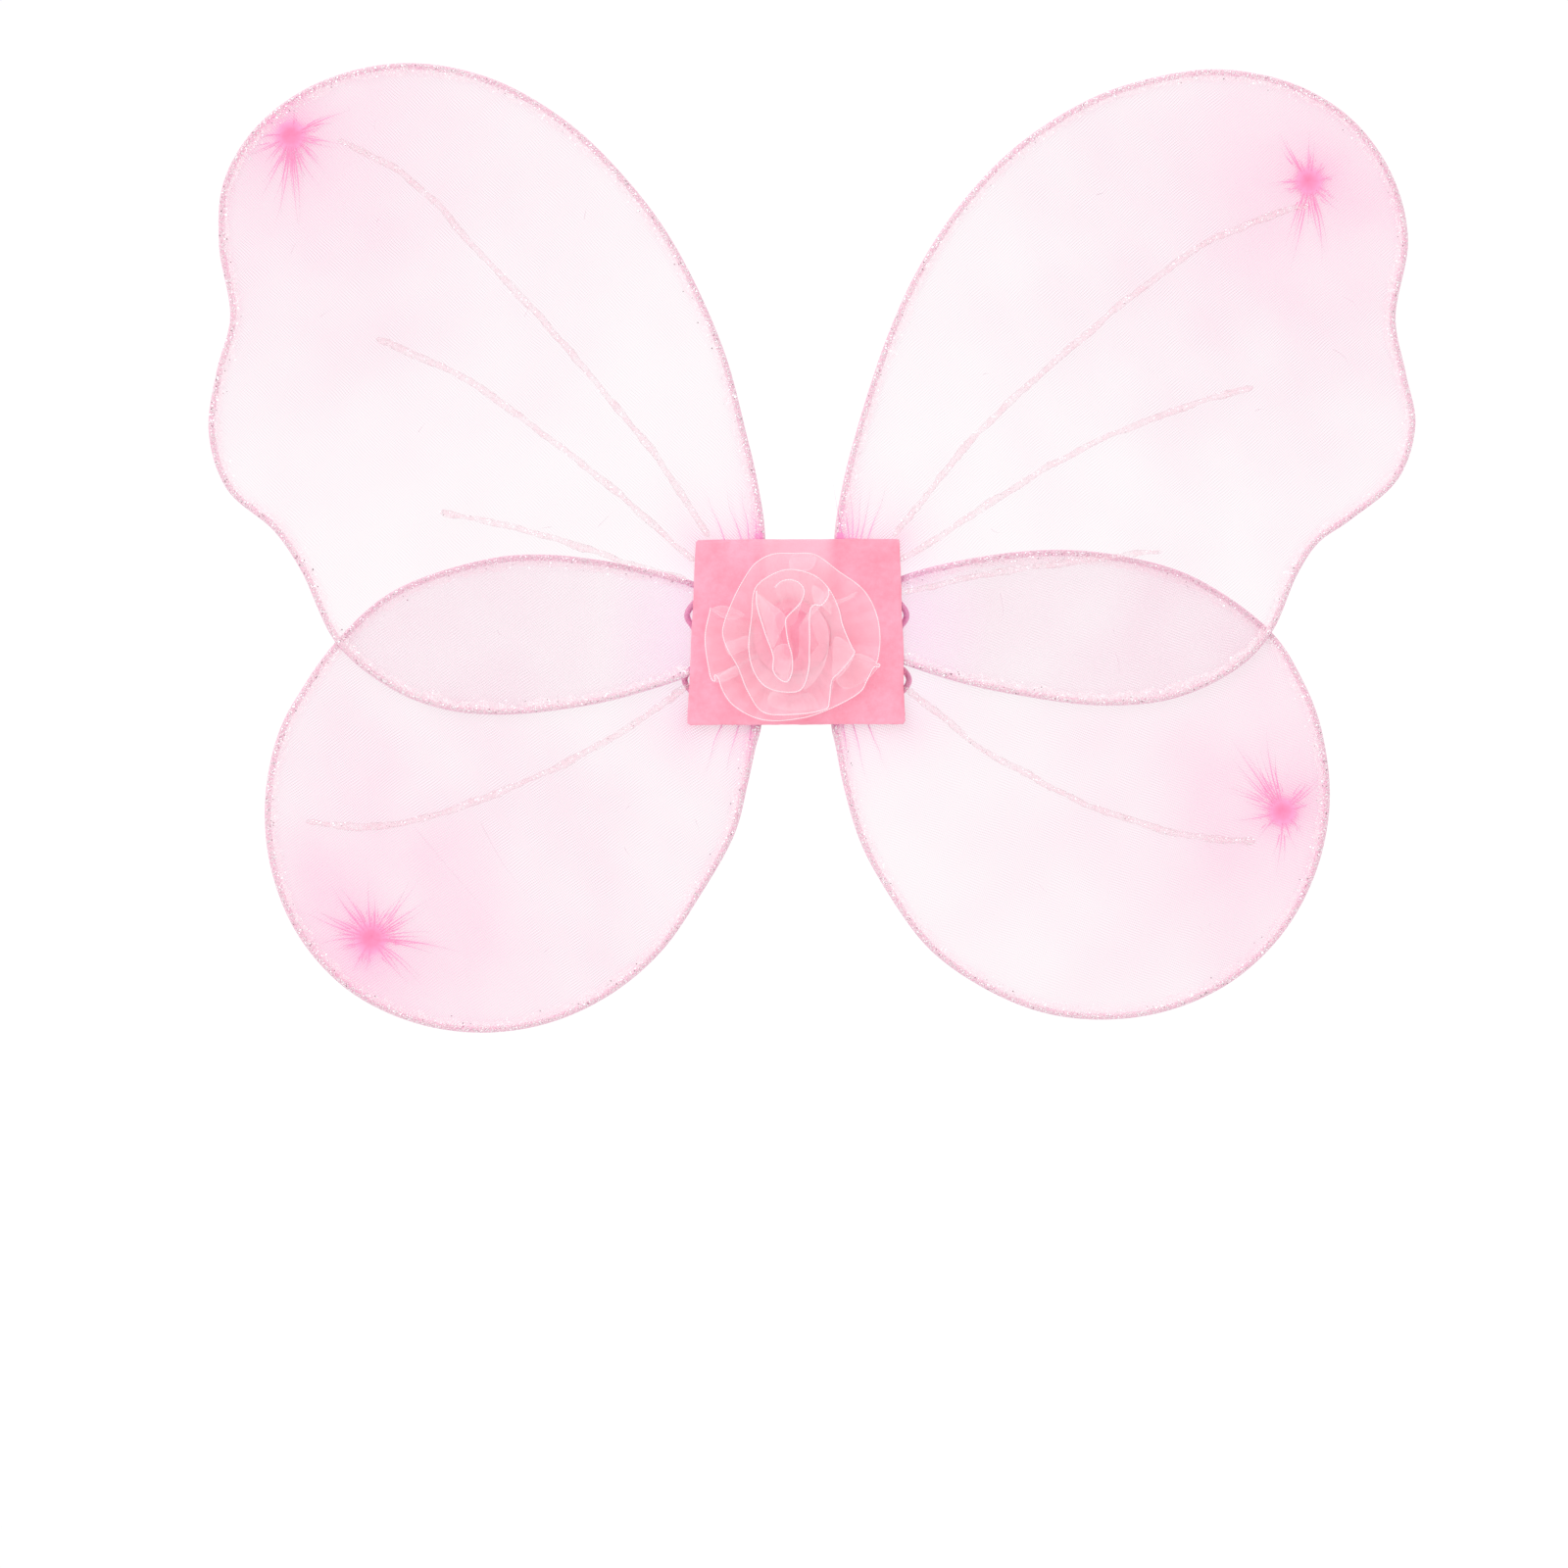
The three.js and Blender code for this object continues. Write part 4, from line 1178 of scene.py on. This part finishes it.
def pad_relief(p, front):
    """How far a felt bends in towards the other: pinched at its edges, held off by the wires."""
    loops = [loop_of(w) for w in WINGS.values() if (w["level"] == UPPER_LEVEL) == front]
    wire = np.min([distance_to(p, line, closed=True) for line in loops], axis=0)
    exits = [(mirror * 41, z) for mirror in (-1, 1) for z in (8, -20)]
    straps = np.min([np.linalg.norm(p - np.array(place), axis=1) for place in exits], axis=0)
    edge = distance_to(p, PAD_OUTLINE, closed=True)
    middle = smooth(1 - np.abs(p[:, 0]) / 13)
    free = smooth((wire - 1.5) / 5)
    clear = 1 if front else smooth((straps - 3) / 6)
    pinch = (0.75 if front else 1.1) * smooth(1 - edge / 9) * free * clear
    pinch += (1.6 if front else 1.9) * middle * smooth(1 - edge / 8) * smooth((wire - 2) / 6)
    dish = 0.3 * free * smooth(edge / 8) * (1 - middle * 0.5)
    ridge = 0.22 * np.exp(-((wire / 1.9) ** 2))
    return pinch + dish - ridge


def add_felt(name, nodes, side, back, front, seed):
    """Half of a felt pad, from its seam on the middle line to its side, with a slightly wavy cut edge."""
    STEP, LIP, RADIUS, WAVE = 1.5, 0.32, 1.1, 0.22
    rng = np.random.default_rng(seed)
    mirror = SIDES[side]
    high, low = (PAD[1], PAD[2]) if mirror > 0 else (PAD[0], PAD[3])
    run = rounded_run([(0, pad_edge(True, 0)), high, low, (0, pad_edge(False, 0))], RADIUS, STEP)
    out = left_of(unit(np.gradient(run, axis=0))) * mirror
    wave = np.convolve(rng.normal(0, 1, len(run) + 6), np.ones(7) / 7, "valid") * WAVE
    wave[0] = wave[-1] = 0
    out[0], out[-1] = (0, 1), (0, -1)
    run = run + out * wave[:, None]
    count = int((run[0, 1] - run[-1, 1]) / STEP)
    seam = np.linspace(run[-1, 1] + LIP, run[0, 1] - LIP, count)[1:-1]
    seam = np.stack([np.zeros(len(seam)), seam], 1)
    outlines = [np.vstack([run - out * d, seam]) for d in (LIP, 0.08, 0.08, LIP)]
    depths = [back - FELT, back - FELT + 0.24, back - 0.24, back]

    grid = lattice(outlines[0].min(0), outlines[0].max(0), STEP)
    grid = grid[inside(grid, outlines[0])]
    grid = grid[distance_to(grid, outlines[0], closed=True) > STEP * 0.45]
    flat, triangles = fill(outlines[0], grid)
    turn = 1 if front else -1

    layers = ((flat, depths[0]), (flat, depths[3]), (outlines[1], depths[1]), (outlines[2], depths[2]))
    verts = np.vstack([placed(p, y + turn * pad_relief(p, front)) for p, y in layers])
    n, ring = len(flat), len(outlines[0])
    faces = slab_faces(triangles, n, [0, 2 * n, 2 * n + ring, n], ring, flip=mirror > 0)
    # Painted light: the felt is made paler in the middle, where no net lies behind it, and on the front
    # paler towards the top
    by_height = smooth((verts[:, 2] + 40) / 60) if front else 0.3
    pale = 0.65 * smooth((15 - np.abs(verts[:, 0])) / 5) * by_height
    felt = new_object(name, verts, faces, FELTED, pale=pale)
    mesh = felt.data
    on_seam = np.abs(verts[:, 0]) < 1e-6
    ends = np.zeros(2 * len(mesh.edges), np.int32)
    mesh.edges.foreach_get("vertices", ends)
    sharp = on_seam[ends.reshape(-1, 2)].all(axis=1)
    mesh.edges.foreach_set("use_edge_sharp", sharp)
    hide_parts(*nodes)
    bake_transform(felt)


for face, back, seed in (("front", FRONT_PAD_BACK, 11), ("rear", 0.0, 13)):
    centre = f"{face}_pad_centre"
    add_felt(f"{face}_felt_left", [f"{face}_pad_left", centre], "left", back, face == "front", seed)
    add_felt(f"{face}_felt_right", [f"{face}_pad_right"], "right", back, face == "front", seed + 1)

# ---------------------------------------------------------------------------------------------
# Rosette: an organza ribbon wound round and round, and a bud of it in the middle

RIBBON_EDGE = [
    (-32.8, 9), (-34.9, -1.8), (-33.8, -12.3), (-32.3, -18.4), (-31.1, -18.9), (-31.4, -16.5),
    (-30.1, -17.2), (-28.4, -22), (-24.4, -27.8), (-13.7, -33.4), (1.4, -33), (12, -29.6),
    (24.4, -22.6), (26.6, -18.7), (29.7, -13.3), (31.2, -13.6), (31.5, -12.4), (30.1, -12.2),
    (30.7, -10.6), (31.6, -2.4), (30.1, 6.9), (25.4, 15.6), (15.8, 22.9), (6.7, 29.2), (-1.4, 29.6),
    (-9.6, 29.2), (-15.8, 25.8), (-20.6, 19.1), (-24.9, 10.5), (-28.2, 0), (-26.8, -5.7),
    (-22.5, -13.4), (-18.6, -22.9), (-12.9, -30.6), (-0.5, -31.5), (9.4, -30), (11.8, -28.9),
    (12.3, -26.6), (13.5, -18.2), (15.7, -16), (19.1, -12.3), (21.6, -8.8), (22, -7.8), (21.2, -6.6),
    (17.2, 2.7), (16, 8), (12.6, 15.4), (8.2, 20.2), (2.2, 22.8), (-4.3, 23.3), (-11, 20.6),
    (-15.8, 16.3), (-17.2, 5.7), (-18.2, -7.6), (-15.8, -16.3), (-11, -21.5), (1, -22.5), (4.3, -15.3),
    (4.8, -4.8), (5.3, 8.6), (6.7, 10), (9.1, 9.8), (12, 13.4), (12, 16.3),
]
BUD_EDGE = [
    (-15.3, 15.3), (-15.3, 10.5), (-12, -1), (-9, -9.6), (-9, -15), (-6.9, -18), (-3.8, -19.2),
    (-2, -16), (-1.9, -9.3), (-3.4, -3.8), (-4.2, 4.4), (-3.3, 5.9), (1.5, 11), (2.7, 15.6),
    (0.7, 18.4), (-3, 19.5), (-6, 18.8), (-8.4, 16.6),
]
ROSETTE_CENTRE = np.array([-2.0, -2.0])


def add_ribbon(name, nodes, edge_points, rise, foot, spread, crease, seed, on_it=()):
    """A sheer ribbon whose beaded edge follows edge_points. rise and foot are the heights of its edge and
    its base from the first point to the last, and spread is how far out its base stands for its edge."""
    ROWS, STEP = 12, 0.55
    rng = np.random.default_rng(seed)
    edge, length = even(catmull(edge_points), STEP)
    n = len(edge)
    along = np.linspace(0, 1, n)
    arm = edge - ROSETTE_CENTRE
    base = np.interp(along, (0, 1), spread)[:, None] * arm
    top = np.interp(along, (0, 0.5, 1), rise)
    low = np.interp(along, (0, 1), foot)
    s = along * length
    folds = np.zeros(n)
    for wide in (7.3, 11, 19):
        strength = rng.uniform(0.6, 1)
        sawtooth = (s / wide + rng.uniform(0, 1)) % 1
        folds += strength * (2 * np.abs(2 * sawtooth - 1) - 1)
    folds /= 2.4
    sway = np.sin(TAU * s / 43 + rng.uniform(0, TAU))
    rows = []
    for v in np.linspace(0, 1, ROWS):
        creased = folds * crease * math.sin(math.pi * v * 0.75) * v
        lift = low + (top - low) * v**1.2 + creased + sway * 0.6 * v
        rows.append(placed(ROSETTE_CENTRE + base + (arm - base) * v**0.92, ROSETTE_BACK - lift))
    verts = np.stack(rows, 1)
    widths = np.linalg.norm(np.diff(verts, axis=1), axis=2).sum(axis=1)
    uv = np.stack([np.repeat(s, ROWS), np.outer(widths, np.linspace(0, 1, ROWS)).ravel()], 1)
    faces = grid_faces(n, ROWS)
    grid = verts.reshape(-1, 3)
    ribbon = new_object(name, grid, faces, ORGANZA, uv=uv)
    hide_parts(*nodes)
    fine = even(verts[:, -1], 0.24)[0]
    pitch = np.arange(len(fine)) * 0.24
    v, f, tube_uv = tube_arrays(fine, 0.2 + 0.06 * np.sin(TAU * pitch / 0.96), 8)
    beading = new_object(f"{name}_overlocked_edge", v, f, BEADING, uv=tube_uv)
    for piece in (ribbon, beading):
        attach(piece, "core")


def add_rosette_base():
    """The round of felt that the rosette is sewn to."""
    ROUND, RADIUS, EDGE = 72, 14.6, 0.4
    profile = [(RADIUS - EDGE, 0), (RADIUS, 0.25), (RADIUS, 0.55), (RADIUS - EDGE, 0.8)]
    verts = []
    for k in range(ROUND):
        a = TAU * k / ROUND
        wave = 1 + 0.012 * math.sin(5 * a) + 0.008 * math.sin(9 * a + 1)
        around = [ROSETTE_CENTRE + heading(a) * wave * r for r, _ in profile]
        verts += [(x, ROSETTE_BACK - h, z) for (x, z), (_, h) in zip(around, profile)]
    faces = grid_faces(ROUND, len(profile), ring=True)
    faces += [[4 * k for k in range(ROUND)], [4 * k + 3 for k in reversed(range(ROUND))]]
    base = new_object("rosette_base", verts, faces, FELTED)
    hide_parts("rosette_backing")
    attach(base, "core")


# Folded corners of the ribbon that show between its turns: outlines of (x, z, height) points
FOLDS = {
    "right_turn": [
        (5.4, 10, 10.2), (10.4, 4.6, 10.4), (12.2, -2, 10.0), (11.2, -10.6, 9.6), (7.6, -18, 9.8),
        (2.6, -22.2, 10.2), (4.0, -15, 10.6), (4.6, -5, 10.6),
    ],
    "tip": [(14.8, -1.9, 8.8), (22, -8.4, 8.6), (13.9, -18.9, 7.6), (13.6, -11.2, 8.4)],
    "low_right": [(13.2, -18.8, 6.4), (14.8, -12.2, 6.6), (13.4, -22, 6.2), (11.8, -27.4, 6.0)],
    "outer_tip": [
        (22, -8.4, 7.6), (31.0, -12.6, 5.4), (27.6, -17.5, 4.8), (19, -22, 5.0), (15, -19, 6.4),
    ],
    "left_v": [
        (-15.2, 14, 12.0), (-9.6, 10.4, 12.2), (-4.2, 5.2, 12.2), (-6.6, -1.6, 12.0),
        (-9.2, -6.2, 11.8), (-12.6, 4, 11.9),
    ],
    "centre": [
        (-8.2, -6, 11.4), (-3.4, -5, 11.6), (-2.4, -12.4, 11.8), (-4.4, -18.2, 11.8), (-8.2, -14, 11.2),
    ],
    "left_flap_top": [
        (-32.4, 8.5, 3.8), (-28.6, 9.9, 4.2), (-22.6, 8.2, 5.2), (-20, 6.2, 5.4), (-26, 4.4, 4.6),
    ],
    "left_flap_foot": [
        (-30.8, -19.2, 3.9), (-29.2, -16.4, 4.2), (-23, -13.2, 5.0), (-21.2, -15.4, 5.0),
        (-27.8, -19.0, 4.0),
    ],
    "ray": [
        (13, 11.6, 8.2), (17, 12.4, 7.6), (22.8, 15.1, 6.8), (21.6, 13.2, 6.6), (17, 10.8, 7.4),
        (13.4, 9, 8.0),
    ],
    "left_band": [
        (-27.4, -4.8, 5.4), (-23.3, -3, 6.2), (-18.6, -1.8, 7.2), (-18.2, -5.9, 7.0),
        (-21.8, -7.8, 6.0), (-25.3, -9.2, 5.4),
    ],
    "top_band": [(-1.5, 29.2, 6.2), (7.2, 28.4, 6.2), (5.2, 23.4, 7.8), (-2.7, 24, 7.8)],
    "low_band": [
        (-9.6, -23, 7.4), (-2, -24.4, 7.6), (5, -23.6, 7.4), (8, -28.6, 6.0), (-3, -30, 5.6),
        (-11, -27.6, 6.0),
    ],
    "top_turn": [
        (6.0, 17.4, 10.4), (9.8, 15.2, 10.6), (12.6, 10.8, 10.4), (12.9, 6.6, 9.8), (9.6, 9.4, 10.8),
        (7.0, 10.2, 11.0),
    ],
}


def add_rosette_folds():
    """Each folded corner as a crisp leaf of ribbon, a little arched across."""
    parts = []
    for outline in FOLDS.values():
        rim = catmull(outline, closed=True, steps=5)
        middle = rim.mean(0)
        rings = [middle + (rim - middle) * share for share in (1.0, 0.72, 0.4)]
        for share, ring in zip((0, 0.25, 0.42), rings):
            ring[:, 2] += share
        leaf = np.vstack([*rings, middle + (0, 0, 0.5)])
        hem = np.vstack([rim + (0, 0, 0.12), rim + unit(middle - rim) * 0.45 + (0, 0, 0.16)])
        n = len(rim)
        leaf_faces = grid_faces(3, n, tube=True)
        leaf_faces += [(2 * n + i, 2 * n + (i + 1) % n, 3 * n) for i in range(n)]
        for verts, faces in ((leaf, leaf_faces), (hem, grid_faces(2, n, tube=True))):
            if area_of(rim) < 0:
                faces = [f[::-1] for f in faces]
            parts.append((placed(verts[:, :2], ROSETTE_BACK - verts[:, 2]), faces))
    verts, faces = join_arrays(parts)
    folds = new_object("rosette_ribbon_folds", verts, faces, ORGANZA, uv=verts[:, [0, 2]])
    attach(folds, "core")
    return folds


add_rosette_base()
add_ribbon("rosette_ribbon", ["rosette_outer_ruffle", "rosette_middle_ruffle"], RIBBON_EDGE,
           rise=(4.5, 7.6, 12.4), foot=(1.0, 3.6), spread=(0.46, 0.42), crease=1.3, seed=31,
           on_it=[add_rosette_folds()])
add_ribbon("rosette_bud_ribbon", ["rosette_bud"], BUD_EDGE,
           rise=(13.0, 13.8, 13.2), foot=(1.4, 1.6), spread=(0.45, 0.45), crease=0.4, seed=32)
